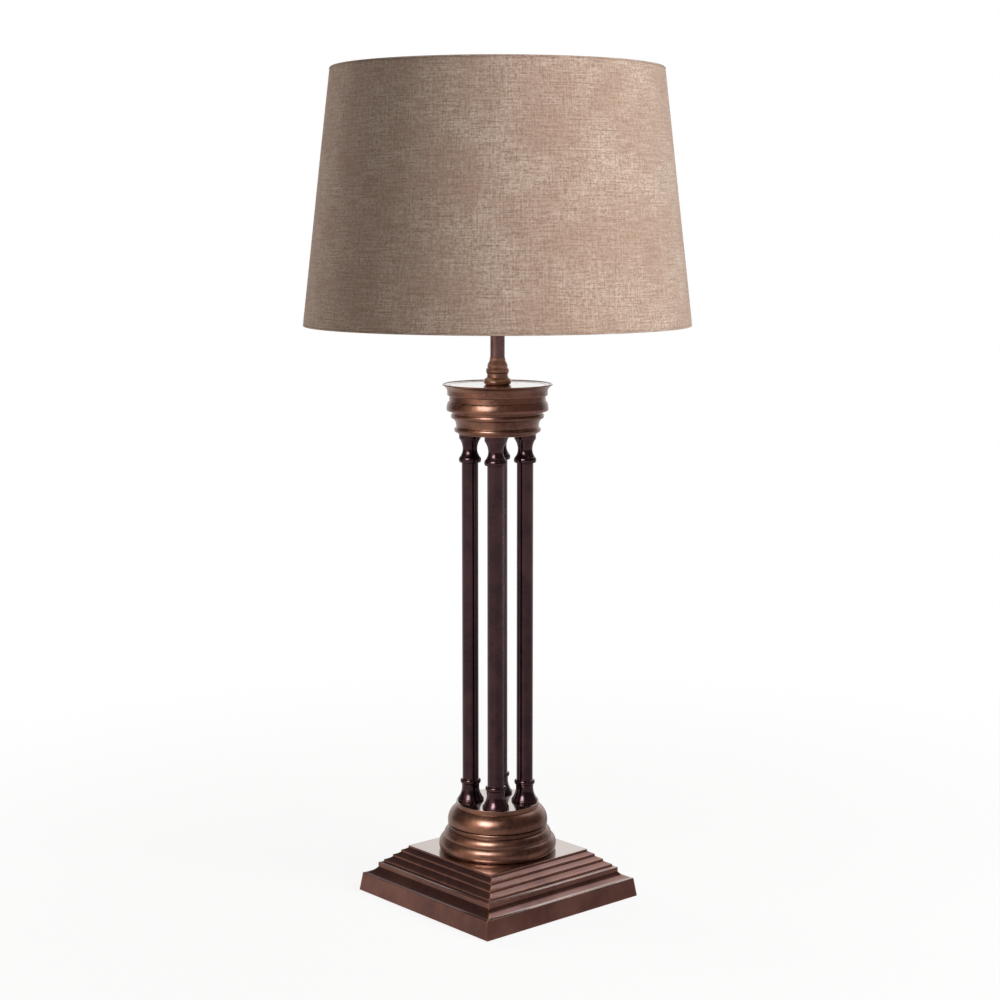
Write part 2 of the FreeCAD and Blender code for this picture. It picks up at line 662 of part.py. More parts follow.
def build_plinth():
    """Hollow cast plinth: the section is grown along Y, then all outside it is cut away along X."""
    body = new_body("plinth", z=plinth_z)
    along_y = new_sketch(body, "XZ_Plane")
    add_outline(along_y, plinth_outline())
    pad(body, along_y, dim.plinth_side, both_ways=True)

    margin = dim.slab_wall
    around = new_sketch(body, "YZ_Plane")
    reach = plinth_half + margin
    add_outline(around, ((-reach, -margin), (reach, -margin),
                         (reach, plinth_height + margin), (-reach, plinth_height + margin)))
    add_outline(around, plinth_outline())
    pocket(body, around)

    lower_room = new_sketch(body, "XY_Plane")
    add_rectangle(lower_room, cavity_half, cavity_half)
    pocket(body, lower_room, dim.cavity_straight, reverse=True)

    room_foot = new_sketch(body, "XY_Plane", dim.cavity_straight)
    add_rectangle(room_foot, cavity_half, cavity_half)
    room_roof = new_sketch(body, "XY_Plane", cavity_height)
    roof_half = platform_half - dim.platform_margin
    add_rectangle(room_roof, roof_half, roof_half)
    room = body.newObject("PartDesign::SubtractiveLoft", "plinth_room")
    room.Profile = room_foot
    room.Sections = [room_roof]
    room.Ruled = True

    posts = new_sketch(body, "XY_Plane", dim.plate_thickness)
    for x, y in post_places:
        add_circle(posts, x, y, dim.post_radius)
    pad(body, posts, band_top - dim.post_cover - dim.plate_thickness)
    pilots = new_sketch(body, "XY_Plane")
    for x, y in post_places:
        add_circle(pilots, x, y, dim.screw_radius + dim.screw_clearance)
    pocket(body, pilots, dim.screw_head_height + dim.screw_length + dim.screw_hole_spare, reverse=True)

    drill(body, tie_places, rod_hole)

    inlet_up = dim.inlet_height - plinth_z
    inlet = new_sketch(body, "XZ_Plane")
    add_circle(inlet, ZERO, inlet_up, dim.bush_radius + dim.screw_clearance)
    pocket(body, inlet, plinth_half)
    spot = new_sketch(body, "XZ_Plane", -spot_face_y)
    add_circle(spot, ZERO, inlet_up, dim.bush_flange_radius + dim.rod_clearance)
    pocket(body, spot, plinth_half - spot_face_y)


def build_underside():
    """Felt pad and steel bottom plate with its four screws."""
    pad_body = new_body("felt_pad")
    outline = new_sketch(pad_body, "XY_Plane")
    pad_half = plinth_half - dim.felt_margin
    add_rectangle(outline, pad_half, pad_half)
    pad(pad_body, outline, dim.felt_thickness)

    plate = new_body("bottom_plate", z=plinth_z)
    outline = new_sketch(plate, "XY_Plane")
    plate_half = cavity_half - dim.plate_clearance
    add_rectangle(outline, plate_half, plate_half)
    pad(plate, outline, dim.plate_thickness)
    drill(plate, post_places, dim.screw_radius + dim.screw_clearance)
    sinks = new_sketch(plate, "XY_Plane")
    for x, y in post_places:
        add_circle(sinks, x, y, dim.screw_head_radius + dim.screw_clearance)
    pocket(plate, sinks, dim.screw_head_height, reverse=True)
    screws("bottom_plate_screws", post_places, plinth_z + dim.screw_head_height, head_down=True)


def build_inlet():
    """Bush for a mains cord in the rear wall, with its nut inside."""
    bush = new_body("inlet_bush", y=spot_face_y, z=dim.inlet_height)
    section = new_sketch(bush, "YZ_Plane")
    inner_end = cavity_half - spot_face_y - dim.inlet_nut_thickness - dim.rod_end
    add_outline(section, (
        (inner_end, dim.inlet_bore),
        (dim.bush_flange_thickness - dim.bush_lip, dim.inlet_bore, -QUARTER_ROUND),
        (dim.bush_flange_thickness, dim.inlet_bore + dim.bush_lip),
        (dim.bush_flange_thickness, dim.bush_flange_radius - dim.bush_lip, QUARTER_ROUND),
        (dim.bush_flange_thickness - dim.bush_lip, dim.bush_flange_radius),
        (ZERO, dim.bush_flange_radius), (ZERO, dim.bush_radius), (inner_end, dim.bush_radius)))
    revolve(bush, section, "H_Axis")

    nut = new_body("inlet_nut", y=cavity_half, z=dim.inlet_height)
    outline = new_sketch(nut, "XZ_Plane")
    add_hexagon(outline, ZERO, ZERO, dim.inlet_nut_flats)
    add_circle(outline, ZERO, ZERO, dim.bush_radius + dim.screw_clearance)
    pad(nut, outline, dim.inlet_nut_thickness)


def build_terminal_block():
    """Three-way terminal block behind the rear right column's foot, and its screws."""
    block = new_body("terminal_block", x=dim.column_offset, y=dim.block_setback, z=plate_top_z)
    outline = new_sketch(block, "XY_Plane")
    add_rectangle(outline, dim.block_width / 2, dim.block_depth / 2)
    pad(block, outline, dim.block_height)
    places = ((-dim.block_pitch, ZERO), (ZERO, ZERO), (dim.block_pitch, ZERO))
    wells = new_sketch(block, "XY_Plane", dim.block_height)
    for x, y in places:
        add_circle(wells, x, y, dim.well_radius)
    pocket(block, wells, dim.well_depth)

    heads = new_body("terminal_screws", x=dim.column_offset, y=dim.block_setback,
                     z=plate_top_z + dim.block_height - dim.well_depth)
    outline = new_sketch(heads, "XY_Plane")
    for x, y in places:
        add_circle(outline, x, y, dim.well_radius - dim.screw_clearance)
    pad(heads, outline, dim.terminal_screw_height)


# Pedestal, columns and the tubes that clamp them

def build_pedestal():
    """Hollow turned pedestal: a foot roll, a second roll, a thin ring, a quarter round and a top disc."""
    roll_foot = dim.torus_height + dim.quirk
    groove_foot = roll_foot + dim.roll_height
    ring_foot = groove_foot + dim.groove_height
    ring_top = ring_foot + dim.thin_ring_height
    ovolo_foot = ring_top + dim.quirk
    ovolo_top = ovolo_foot + dim.ovolo_height
    disc_foot = ovolo_top + dim.disc_neck_height
    widest = dim.torus_radius + dim.torus_swell
    hollow_top = disc_foot + dim.disc_height - dim.pedestal_wall
    body = turned("pedestal", (
        (dim.torus_radius - dim.pedestal_floor_wall, ZERO),
        (dim.torus_radius, ZERO, SOFT_ROUND),
        (widest, dim.torus_crest, SOFT_ROUND),
        (dim.roll_radius + dim.quirk, dim.torus_height),
        (dim.roll_radius, roll_foot, SOFT_ROUND),
        (dim.roll_radius - dim.roll_inset, groove_foot),
        (dim.groove_radius, groove_foot),
        (dim.groove_radius, ring_foot),
        (dim.thin_ring_radius - dim.quirk / 2, ring_foot, FULL_ROUND),
        (dim.thin_ring_radius - dim.quirk / 2, ring_top),
        (dim.groove_radius, ring_top),
        (dim.groove_radius, ovolo_foot),
        (dim.ovolo_radius - dim.quirk, ovolo_foot, SOFT_ROUND),
        (dim.ovolo_radius, ovolo_foot + dim.ovolo_crest, SOFT_ROUND),
        (dim.ovolo_top_radius, ovolo_top),
        (dim.disc_radius - dim.quirk, ovolo_top),
        (dim.disc_radius - dim.quirk, disc_foot),
        (dim.disc_radius, disc_foot),
        (dim.disc_radius, disc_foot + dim.disc_height),
        (ZERO, disc_foot + dim.disc_height),
        (ZERO, hollow_top),
        (dim.ovolo_top_radius - dim.pedestal_crown_wall, hollow_top),
        (dim.groove_radius - dim.pedestal_ring_wall, ring_foot),
        (dim.torus_radius - dim.pedestal_floor_wall, dim.pedestal_room_straight)), z=platform_z)
    drill(body, tie_places, rod_hole)


def build_column(name, x, y):
    """One column: a bell-shaped base, a tube for a shaft and a flared cap, all round a threaded tube."""
    spigot_radius = dim.shaft_bore - dim.spigot_clearance
    ring_foot = dim.base_height - dim.base_ring_height
    turned(f"column_base_{name}", (
        (rod_hole, ZERO), (dim.base_radius, ZERO), (dim.base_radius, dim.base_foot, SOFT_HOLLOW),
        (dim.base_neck_radius, ring_foot),
        (dim.base_ring_radius - dim.quirk, ring_foot + dim.quirk, SOFT_ROUND),
        (dim.base_ring_radius - dim.quirk, dim.base_height - dim.quirk),
        (dim.base_neck_radius, dim.base_height),
        (spigot_radius, dim.base_height), (spigot_radius, dim.base_height + dim.spigot_height),
        (rod_hole, dim.base_height + dim.spigot_height)), x, y, pedestal_top_z)
    tube(f"column_shaft_{name}", dim.shaft_bore, dim.shaft_radius, dim.shaft_length, x, y, shaft_z)
    lip_foot = dim.cap_height - dim.cap_lip
    turned(f"column_cap_{name}", (
        (rod_hole, -dim.spigot_height), (spigot_radius, -dim.spigot_height), (spigot_radius, ZERO),
        (dim.shaft_radius + dim.quirk, ZERO),
        (dim.cap_ring_radius - dim.quirk, dim.quirk, SOFT_ROUND),
        (dim.cap_ring_radius - dim.quirk, dim.cap_ring_height - dim.quirk),
        (dim.cap_ring_radius - dim.quirk * 2, dim.cap_ring_height, SOFT_HOLLOW),
        (dim.cap_neck_radius, dim.cap_neck_height, SLIGHT_HOLLOW),
        (dim.cap_radius, lip_foot), (dim.cap_radius, dim.cap_height),
        (rod_hole, dim.cap_height)), x, y, column_cap_z)
    tube(f"tie_tube_{name}", dim.rod_bore, dim.rod_radius, tie_top_z - tie_foot_z, x, y, tie_foot_z)


def build_ties():
    """Washers and nuts that draw the plinth, pedestal, columns and capital together."""
    washers("tie_washers_lower", tie_places, platform_underside_z - dim.washer_thickness)
    nuts = new_body("tie_nuts_lower", z=tie_foot_z + dim.rod_end)
    nut_layer(nuts, tie_places)
    washers("tie_washers_upper", tie_places, capital_floor_z)
    nuts = new_body("tie_nuts_upper", z=capital_floor_z + dim.washer_thickness)
    nut_layer(nuts, tie_places)


# Capital, neck and stem

def build_capital():
    """Hollow turned capital with two screw posts inside."""
    ring_foot = dim.capital_foot_height + dim.quirk
    ring_top = ring_foot + dim.low_ring_height
    cavetto_top = ring_top + dim.cavetto_height
    fine_foot = cavetto_top + dim.quirk
    fine_top = fine_foot + dim.fine_ring_height
    roll_foot = fine_top + dim.neck_groove_height
    roll_top = roll_foot + dim.great_roll_height
    frieze_foot = roll_top + dim.quirk
    frieze_top = frieze_foot + dim.frieze_height
    crown_top = crown_height + dim.crown_ring_height
    rim_foot = crown_top + dim.flare_height
    recess_radius = dim.lid_radius + dim.lid_clearance
    room_radius = recess_radius - dim.lid_ledge
    floor_radius = dim.cavetto_foot_radius - dim.capital_wall
    body = turned("capital", (
        (ZERO, ZERO), (dim.capital_foot_radius, ZERO),
        (dim.capital_foot_radius, dim.capital_foot_height),
        (dim.low_ring_edge_radius, ring_foot, HALF_ROUND),
        (dim.low_ring_edge_radius, ring_top),
        (dim.cavetto_foot_radius, ring_top, SOFT_HOLLOW),
        (dim.cavetto_top_radius, cavetto_top),
        (dim.fine_ring_radius - dim.quirk, fine_foot, SOFT_ROUND),
        (dim.fine_ring_radius - dim.quirk, fine_top),
        (dim.neck_groove_radius, fine_top),
        (dim.neck_groove_radius, roll_foot),
        (dim.great_roll_edge_radius, roll_foot, HALF_ROUND),
        (dim.great_roll_edge_radius, roll_top),
        (dim.frieze_foot_radius, frieze_foot, SLIGHT_ROUND),
        (dim.frieze_top_radius, frieze_top),
        (dim.crown_ring_radius, crown_height),
        (dim.crown_ring_radius, crown_top, SOFT_HOLLOW),
        (dim.rim_radius, rim_foot),
        (dim.rim_radius, capital_height),
        (dim.rim_radius - dim.rim_width, capital_height, SLIGHT_HOLLOW),
        (recess_radius, capital_height - dim.lid_recess),
        (recess_radius, lid_seat_height),
        (room_radius, lid_seat_height),
        (room_radius, dim.capital_step_height + dim.capital_wall),
        (floor_radius, dim.capital_step_height),
        (floor_radius, dim.capital_wall),
        (ZERO, dim.capital_wall)), z=capital_z)
    drill(body, tie_places, rod_hole)
    post_top = crossbar_z - capital_z
    posts = new_sketch(body, "XY_Plane", dim.capital_wall)
    pilots = new_sketch(body, "XY_Plane", post_top)
    for x, y in crossbar_places:
        add_circle(posts, x, y, dim.post_radius)
        add_circle(pilots, x, y, dim.screw_radius + dim.screw_clearance)
    pad(body, posts, post_top - dim.capital_wall)
    pocket(body, pilots, dim.screw_length + dim.screw_hole_spare - dim.crossbar_thickness)


def build_capital_fittings():
    """Lid of the capital, and the crossbar under it that holds the stem's threaded tube."""
    tube("capital_lid", rod_hole, dim.lid_radius, dim.lid_thickness, z=lid_z)
    crossbar = new_body("crossbar", z=crossbar_z)
    outline = new_sketch(crossbar, "XY_Plane")
    add_rectangle(outline, dim.crossbar_length / 2, dim.crossbar_width / 2)
    pad(crossbar, outline, dim.crossbar_thickness)
    drill(crossbar, [(ZERO, ZERO)], rod_hole)
    drill(crossbar, crossbar_places, dim.screw_radius + dim.screw_clearance)
    screws("crossbar_screws", crossbar_places, crossbar_top_z)
    tube("stem_rod", dim.rod_bore, dim.rod_radius, stem_rod_top_z - stem_rod_foot_z, z=stem_rod_foot_z)
    nuts = new_body("stem_nuts", z=crossbar_z - dim.nut_thickness)
    nut_layer(nuts, [(ZERO, ZERO)])
    nut_layer(nuts, [(ZERO, ZERO)], dim.nut_thickness + dim.crossbar_thickness)


def build_neck():
    """Turned neck on the lid: a roll, a waist, a bead, a collar and a taper."""
    waist_top = dim.neck_roll_height + dim.neck_waist_height
    bead_top = waist_top + dim.neck_bead_height
    collar_top = bead_top + dim.neck_collar_height
    taper_top = collar_top + dim.neck_taper_height
    turned("neck", (
        (rod_hole, ZERO), (dim.neck_foot_radius, ZERO, SOFT_ROUND),
        (dim.neck_roll_radius, dim.neck_roll_height / 2, SOFT_ROUND),
        (dim.neck_waist_radius + dim.quirk, dim.neck_roll_height, SLIGHT_HOLLOW),
        (dim.neck_waist_radius, waist_top, SOFT_ROUND),
        (dim.neck_bead_radius, waist_top + dim.neck_bead_height / 2, SOFT_ROUND),
        (dim.neck_waist_radius, bead_top),
        (dim.neck_collar_radius, bead_top),
        (dim.neck_collar_radius, collar_top),
        (dim.neck_top_radius + dim.quirk, taper_top),
        (dim.neck_top_radius, taper_top + dim.quirk),
        (dim.neck_top_radius, dim.neck_height),
        (rod_hole, dim.neck_height)), z=lid_top_z)
    tube("stem_tube", dim.stem_radius - dim.stem_wall, dim.stem_radius, dim.stem_length, z=neck_top_z)


# Lampholder and bulb

def bar_hole(body, height):
    """A hole for the switch bar, right through a body along Y."""
    sketch = new_sketch(body, "XZ_Plane")
    add_circle(sketch, ZERO, height, dim.switch_radius + dim.switch_clearance)
    pocket(body, sketch)


def build_lampholder():
    """Flared cup, two-part metal lampholder, insert, screw sleeve, contact, switch bar and shade ring."""
    seat_radius = dim.cup_radius - dim.cup_lip_width
    turned("holder_cup", (
        (rod_hole, ZERO), (dim.cup_foot_radius, ZERO, SOFT_HOLLOW),
        (dim.cup_radius, dim.cup_height - dim.cup_lip_height),
        (dim.cup_radius, dim.cup_height), (seat_radius, dim.cup_height),
        (seat_radius, dim.cup_height - dim.cup_lip_height),
        (rod_hole, dim.cup_height - dim.cup_lip_height)), z=stem_top_z)

    inner_radius = dim.holder_radius - dim.holder_wall
    ledge_radius = inner_radius - dim.holder_ledge_width
    foot_radius = seat_radius - dim.insert_clearance
    lower = turned("holder_cap", (
        (rod_hole, ZERO), (foot_radius, ZERO),
        (foot_radius, dim.cup_lip_height + dim.running_gap, QUARTER_ROUND),
        (dim.holder_radius, dim.cup_lip_height + dim.holder_round),
        (dim.holder_radius, dim.holder_cap_height),
        (inner_radius, dim.holder_cap_height), (inner_radius, dim.holder_ledge_height),
        (ledge_radius, dim.holder_ledge_height), (ledge_radius, dim.holder_floor),
        (rod_hole, dim.holder_floor)), z=holder_z)
    bar_hole(lower, switch_z - holder_z)

    flange_top = dim.flange_height + dim.flange_thickness
    turned("holder_shell", (
        (inner_radius, ZERO), (dim.holder_radius, ZERO), (dim.holder_radius, dim.flange_height),
        (dim.flange_radius, dim.flange_height), (dim.flange_radius, flange_top),
        (dim.holder_radius, flange_top),
        (dim.holder_radius, dim.shell_height - dim.holder_wall, QUARTER_ROUND),
        (dim.holder_radius - dim.holder_wall, dim.shell_height), (dim.shell_lip_radius, dim.shell_height),
        (dim.shell_lip_radius, dim.shell_height - dim.holder_wall),
        (inner_radius, dim.shell_height - dim.holder_wall)), z=shell_z)

    insert_top = shell_z + dim.shell_height - dim.holder_wall - dim.insert_clearance - insert_z
    insert_radius = inner_radius - dim.insert_clearance
    insert = turned("holder_insert", (
        (dim.insert_recess_radius, ZERO), (insert_radius, ZERO), (insert_radius, insert_top),
        (dim.sleeve_radius + dim.insert_clearance, insert_top),
        (dim.sleeve_radius + dim.insert_clearance, dim.socket_floor_height),
        (ZERO, dim.socket_floor_height), (ZERO, dim.insert_recess_height),
        (dim.insert_recess_radius, dim.insert_recess_height)), z=insert_z)
    bar_hole(insert, dim.switch_height)

    turned("screw_sleeve", (
        (dim.sleeve_foot_bore, ZERO), (dim.sleeve_radius, ZERO), (dim.sleeve_radius, dim.sleeve_height),
        (dim.sleeve_bore, dim.sleeve_height), (dim.sleeve_bore, dim.sleeve_foot_thickness),
        (dim.sleeve_foot_bore, dim.sleeve_foot_thickness)), z=socket_z)
    turned("centre_contact", (
        (ZERO, ZERO), (dim.contact_radius, ZERO), (dim.contact_radius, dim.contact_plate_thickness),
        (dim.contact_button_radius, dim.contact_plate_thickness, SLIGHT_HOLLOW),
        (dim.contact_tip_radius, dim.contact_height), (ZERO, dim.contact_height)), z=socket_z)

    bar = new_body("switch_bar", z=switch_z)
    section = new_sketch(bar, "YZ_Plane")
    front = -dim.holder_radius - dim.switch_reach
    rear = dim.holder_radius + dim.switch_rest
    add_outline(section, (
        (front, ZERO), (rear, ZERO), (rear, dim.switch_radius / 2, QUARTER_ROUND),
        (rear - dim.switch_radius / 2, dim.switch_radius),
        (front + dim.switch_radius / 2, dim.switch_radius, QUARTER_ROUND), (front, dim.switch_radius / 2)))
    revolve(bar, section, "H_Axis")

    bore = dim.holder_radius + dim.ring_clearance
    turned("shade_ring", (
        (bore, ZERO), (dim.ring_radius - dim.ring_edge, ZERO), (dim.ring_radius, dim.ring_edge),
        (dim.ring_radius, dim.ring_height - dim.ring_edge),
        (dim.ring_radius - dim.ring_edge, dim.ring_height),
        (bore, dim.ring_height)), z=ring_z)


def build_bulb():
    """Round bulb: tip, screw cap, glass and the filaments on their mast."""
    inner_radius = dim.bulb_cap_radius - dim.bulb_cap_wall
    tip_top = dim.bulb_cap_foot + dim.glass_wall
    turned("bulb_tip", (
        (ZERO, ZERO), (dim.tip_radius, ZERO), (dim.tip_radius + dim.glass_wall, dim.glass_wall),
        (inner_radius - dim.glass_wall, dim.bulb_cap_foot - dim.bulb_cap_wall),
        (inner_radius, dim.bulb_cap_foot), (inner_radius, tip_top), (ZERO, tip_top)), z=bulb_z)
    turned("bulb_cap", (
        (inner_radius, dim.bulb_cap_foot), (dim.bulb_cap_radius, dim.bulb_cap_foot + dim.bulb_cap_wall),
        (dim.bulb_cap_radius, dim.bulb_cap_top), (inner_radius, dim.bulb_cap_top)), z=bulb_z)
    neck_radius = inner_radius - dim.wire_clearance
    wall = dim.glass_wall
    belly_height = dim.bulb_height - dim.bulb_radius
    turned("bulb_glass", (
        (neck_radius - wall, dim.bulb_cap_top - dim.glass_seat),
        (neck_radius, dim.bulb_cap_top - dim.glass_seat),
        (neck_radius, dim.bulb_neck_height, SLIGHT_HOLLOW),
        (dim.bulb_shoulder_radius, dim.bulb_shoulder_height, SLIGHT_ROUND),
        (dim.bulb_radius, belly_height, QUARTER_ROUND),
        (ZERO, dim.bulb_height), (ZERO, dim.bulb_height - wall, -QUARTER_ROUND),
        (dim.bulb_radius - wall, belly_height, -SLIGHT_ROUND),
        (dim.bulb_shoulder_radius - wall, dim.bulb_shoulder_height, -SLIGHT_HOLLOW),
        (neck_radius - wall, dim.bulb_neck_height)), z=bulb_z)

    plate = dim.filament_plate_thickness
    upper_plate = dim.filament_foot + dim.filament_length
    mount_top = tip_top + dim.mast_mount_height
    mast = turned("bulb_filament", (
        (ZERO, tip_top), (dim.mast_foot_radius, tip_top), (dim.mast_radius * 2, mount_top),
        (dim.mast_radius, mount_top + dim.mast_foot_radius),
        (dim.mast_radius, dim.filament_foot - plate), (dim.filament_plate_radius, dim.filament_foot - plate),
        (dim.filament_plate_radius, dim.filament_foot), (dim.mast_radius, dim.filament_foot),
        (dim.mast_radius, upper_plate), (dim.filament_plate_radius, upper_plate),
        (dim.filament_plate_radius, upper_plate + plate), (ZERO, upper_plate + plate)), z=bulb_z)
    sticks = new_sketch(mast, "XY_Plane", dim.filament_foot)
    for name, side_x, side_y in CORNERS:
        add_circle(sticks, dim.filament_offset * side_x, dim.filament_offset * side_y, dim.filament_radius)
    pad(mast, sticks, dim.filament_length)


# Shade

def build_shade():
    """Tapered drum: linen on a stiff liner, a wire in each hem, and the carrier that rests on the flange."""
    hem = dim.hem_thickness
    foot_radius = dim.shade_bottom_radius - hem
    top_radius = dim.shade_top_radius - hem
    foot = hem
    top = dim.shade_height - hem
    lean = (foot_radius - top_radius) / (top - foot)
    back = dim.linen_thickness
    inside = dim.linen_thickness + dim.liner_thickness
    turned("shade_linen", ((foot_radius - back, foot), (foot_radius, foot), (top_radius, top),
                           (top_radius - back, top)), z=shade_z)
    turned("shade_liner", ((foot_radius - inside, foot), (foot_radius - back, foot),
                           (top_radius - back, top), (top_radius - inside, top)), z=shade_z)

    wire_up = hem + dim.wire_radius + dim.wire_clearance
    reach = inside + dim.wire_radius + dim.wire_clearance * 2
    bottom_wire_radius = foot_radius - lean * wire_up - reach
    top_wire_radius = top_radius - reach
    for label, wire_ring, height in (("shade_bottom_wire", bottom_wire_radius, wire_up),
                                     ("shade_top_wire", top_wire_radius, dim.shade_height - wire_up)):
        wire = doc.addObject("Part::Torus", label)
        wire.Label = label
        wire.setExpression("Radius1", wire_ring.text)
        wire.setExpression("Radius2", dim.wire_radius.text)
        place(wire, ZERO, ZERO, shade_z + height)
        sub_parts.append(wire)

    tuck = dim.wire_radius + dim.wire_clearance + hem
    fall = lean * (dim.hem_height - hem)
    inner = bottom_wire_radius - tuck
    turned("shade_bottom_hem", (
        (inner, ZERO), (foot_radius + hem, ZERO), (foot_radius + hem - fall, dim.hem_height),
        (foot_radius - fall, dim.hem_height), (foot_radius, foot), (inner + hem, foot),
        (inner + hem, wire_up), (inner, wire_up)), z=shade_z)
    inner = top_wire_radius - tuck
    hem_foot = dim.shade_height - dim.hem_height
    turned("shade_top_hem", (
        (top_radius + fall, hem_foot), (top_radius + fall + hem, hem_foot),
        (top_radius + hem, dim.shade_height),
        (inner, dim.shade_height), (inner, dim.shade_height - wire_up),
        (inner + hem, dim.shade_height - wire_up), (inner + hem, top), (top_radius, top)), z=shade_z)

    tube("carrier_ring", dim.carrier_bore, dim.carrier_radius, dim.carrier_thickness, z=carrier_z)
    seat_z = carrier_z + dim.carrier_thickness / 2
    end_z = shade_z + wire_up + dim.wire_radius + dim.arm_radius - dim.arm_weld
    inner_end = dim.carrier_radius - dim.arm_weld
    outer_end = bottom_wire_radius + dim.arm_radius
    arm = bent_rod((point(inner_end, ZERO, seat_z), point(inner_end + dim.arm_level_run, ZERO, seat_z),
                    point(outer_end - dim.arm_level_run, ZERO, end_z), point(outer_end, ZERO, end_z)),
                   [dim.arm_bend.value] * 2, dim.arm_radius.value)
    arms = []
    for turn in range(ARM_COUNT):
        turned_arm = arm.copy()
        angle = FIRST_ARM_ANGLE + 360 / ARM_COUNT * turn
        turned_arm.rotate(FreeCAD.Vector(0, 0, 0), FreeCAD.Vector(0, 0, 1), angle)
        arms.append(turned_arm)
    loose_shape("carrier_arms", Part.makeCompound(arms))


def build_flex():
    """Flex from the terminal block up the rear right threaded tube, across the capital to the lampholder."""
    start_z = plate_top_z + dim.block_height / 2
    offset = dim.column_offset
    route = (point(offset, dim.block_setback - dim.block_depth / 2, start_z),
             point(offset, offset, start_z),
             point(offset, offset, tie_top_z + dim.flex_rise),
             point(ZERO, ZERO, stem_rod_foot_z - dim.flex_rise),
             point(ZERO, ZERO, insert_z + dim.insert_recess_height))
    bends = (dim.flex_bend.value, dim.flex_turn.value, dim.flex_turn.value)
    loose_shape("inner_flex", bent_rod(route, bends, dim.flex_radius.value))


build_underside()
build_plinth()
build_inlet()
build_terminal_block()
build_pedestal()
for corner_name, corner_x, corner_y in CORNERS:
    build_column(corner_name, dim.column_offset * corner_x, dim.column_offset * corner_y)
build_ties()
build_capital()
build_capital_fittings()
build_neck()
build_lampholder()
build_bulb()
build_shade()
build_flex()
doc.recompute()

for item in doc.Objects:
    if "Invalid" in item.State or "Error" in item.State:
        raise RuntimeError(f"{item.Label} failed: {item.State}")
for piece in sub_parts:
    if piece.Shape.isNull() or not piece.Shape.isValid():
        raise RuntimeError(f"{piece.Label} has no valid shape")

os.makedirs("parts", exist_ok=True)
for piece in sub_parts:
    piece.Shape.exportStep(f"parts/{piece.Label}.step")
    box = piece.Shape.BoundBox
    print(f"{piece.Label}: {len(piece.Shape.Solids)} solids, {piece.Shape.Volume:.0f} mm3, "
          f"z {box.ZMin:.2f} to {box.ZMax:.2f}, x {box.XMin:.1f} to {box.XMax:.1f}")
print(f"{len(sub_parts)} sub-parts")
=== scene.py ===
# %% [markdown]
# # A column table lamp, dressed for its portrait
#
# The lamp stands on a stepped square plinth. A turned pedestal carries four slim columns, they
# carry a turned capital, and a neck above it holds the lampholder and a linen shade. The packed
# solids give every place and every size. This file gives the visible surfaces: each one is a
# formula on a grid of two parameters, worked out with numpy as whole arrays.

# %% Load the frame
import json
import math

import bmesh
import bpy
import numpy as np
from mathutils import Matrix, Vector


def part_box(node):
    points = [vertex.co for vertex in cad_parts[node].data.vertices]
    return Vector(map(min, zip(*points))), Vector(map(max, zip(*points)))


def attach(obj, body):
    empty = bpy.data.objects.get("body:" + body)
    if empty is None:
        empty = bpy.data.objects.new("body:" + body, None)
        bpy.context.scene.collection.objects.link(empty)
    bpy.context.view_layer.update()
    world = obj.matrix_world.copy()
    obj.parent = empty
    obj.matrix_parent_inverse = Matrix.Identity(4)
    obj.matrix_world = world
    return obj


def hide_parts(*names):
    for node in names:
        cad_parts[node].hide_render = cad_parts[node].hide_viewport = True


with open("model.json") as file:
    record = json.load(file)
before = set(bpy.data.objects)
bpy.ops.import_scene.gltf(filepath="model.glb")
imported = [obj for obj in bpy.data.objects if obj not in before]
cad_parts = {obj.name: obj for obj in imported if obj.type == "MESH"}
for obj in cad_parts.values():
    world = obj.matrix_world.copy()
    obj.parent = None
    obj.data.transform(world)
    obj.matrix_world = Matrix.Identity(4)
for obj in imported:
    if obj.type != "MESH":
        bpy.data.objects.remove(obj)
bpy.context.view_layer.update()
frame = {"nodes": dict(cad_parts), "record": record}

nodes = frame["nodes"]
mm = 0.001
CORNER_NAMES = ("front_left", "front_right", "rear_right", "rear_left")
print("solids in the frame:", len(nodes))


# %% [markdown]
# ## The photograph's view
#
# The picture is taken from a little above the capital, with the nearest corner of the plinth
# turned to the left. A long lens keeps the square plinth from looking stretched. The angle and
# the distance were found by laying the plinth's corners and the two edges of the shade over the
# photograph, and the lens is the usual one for such a picture.

# %% Camera
VIEW_AZIMUTH = math.radians(-41.19)
VIEW_PITCH = math.radians(7.851)
VIEW_DISTANCE = 2.06895
VIEW_ASIDE = 0.00258
VIEW_HEIGHT = 0.71167
LENS_MM = 72.0
SENSOR_MM = 36.0

towards_camera = np.array((math.sin(VIEW_AZIMUTH), -math.cos(VIEW_AZIMUTH), 0.0))
view_right = np.array((math.cos(VIEW_AZIMUTH), math.sin(VIEW_AZIMUTH), 0.0))
lens = bpy.data.cameras.new("photograph_view")
lens.lens = LENS_MM
lens.sensor_width = SENSOR_MM
camera = bpy.data.objects.new("photograph_view", lens)
bpy.context.scene.collection.objects.link(camera)
eye_height = np.array((0.0, 0.0, VIEW_HEIGHT))
camera.location = towards_camera * VIEW_DISTANCE + view_right * VIEW_ASIDE + eye_height
camera.rotation_euler = (math.pi / 2 - VIEW_PITCH, 0.0, VIEW_AZIMUTH)
bpy.context.scene.camera = camera
bpy.context.scene.view_settings.view_transform = "Standard"
print("camera at", [round(value, 3) for value in camera.location])


# %% [markdown]
# ## Node trees in a few words
#
# A material is a chain of small sums. Most helpers below add one node and give back its output,
# so that a finish reads from top to bottom like a recipe. An input that is given a socket is
# linked, and an input that is given a number or a colour is set.

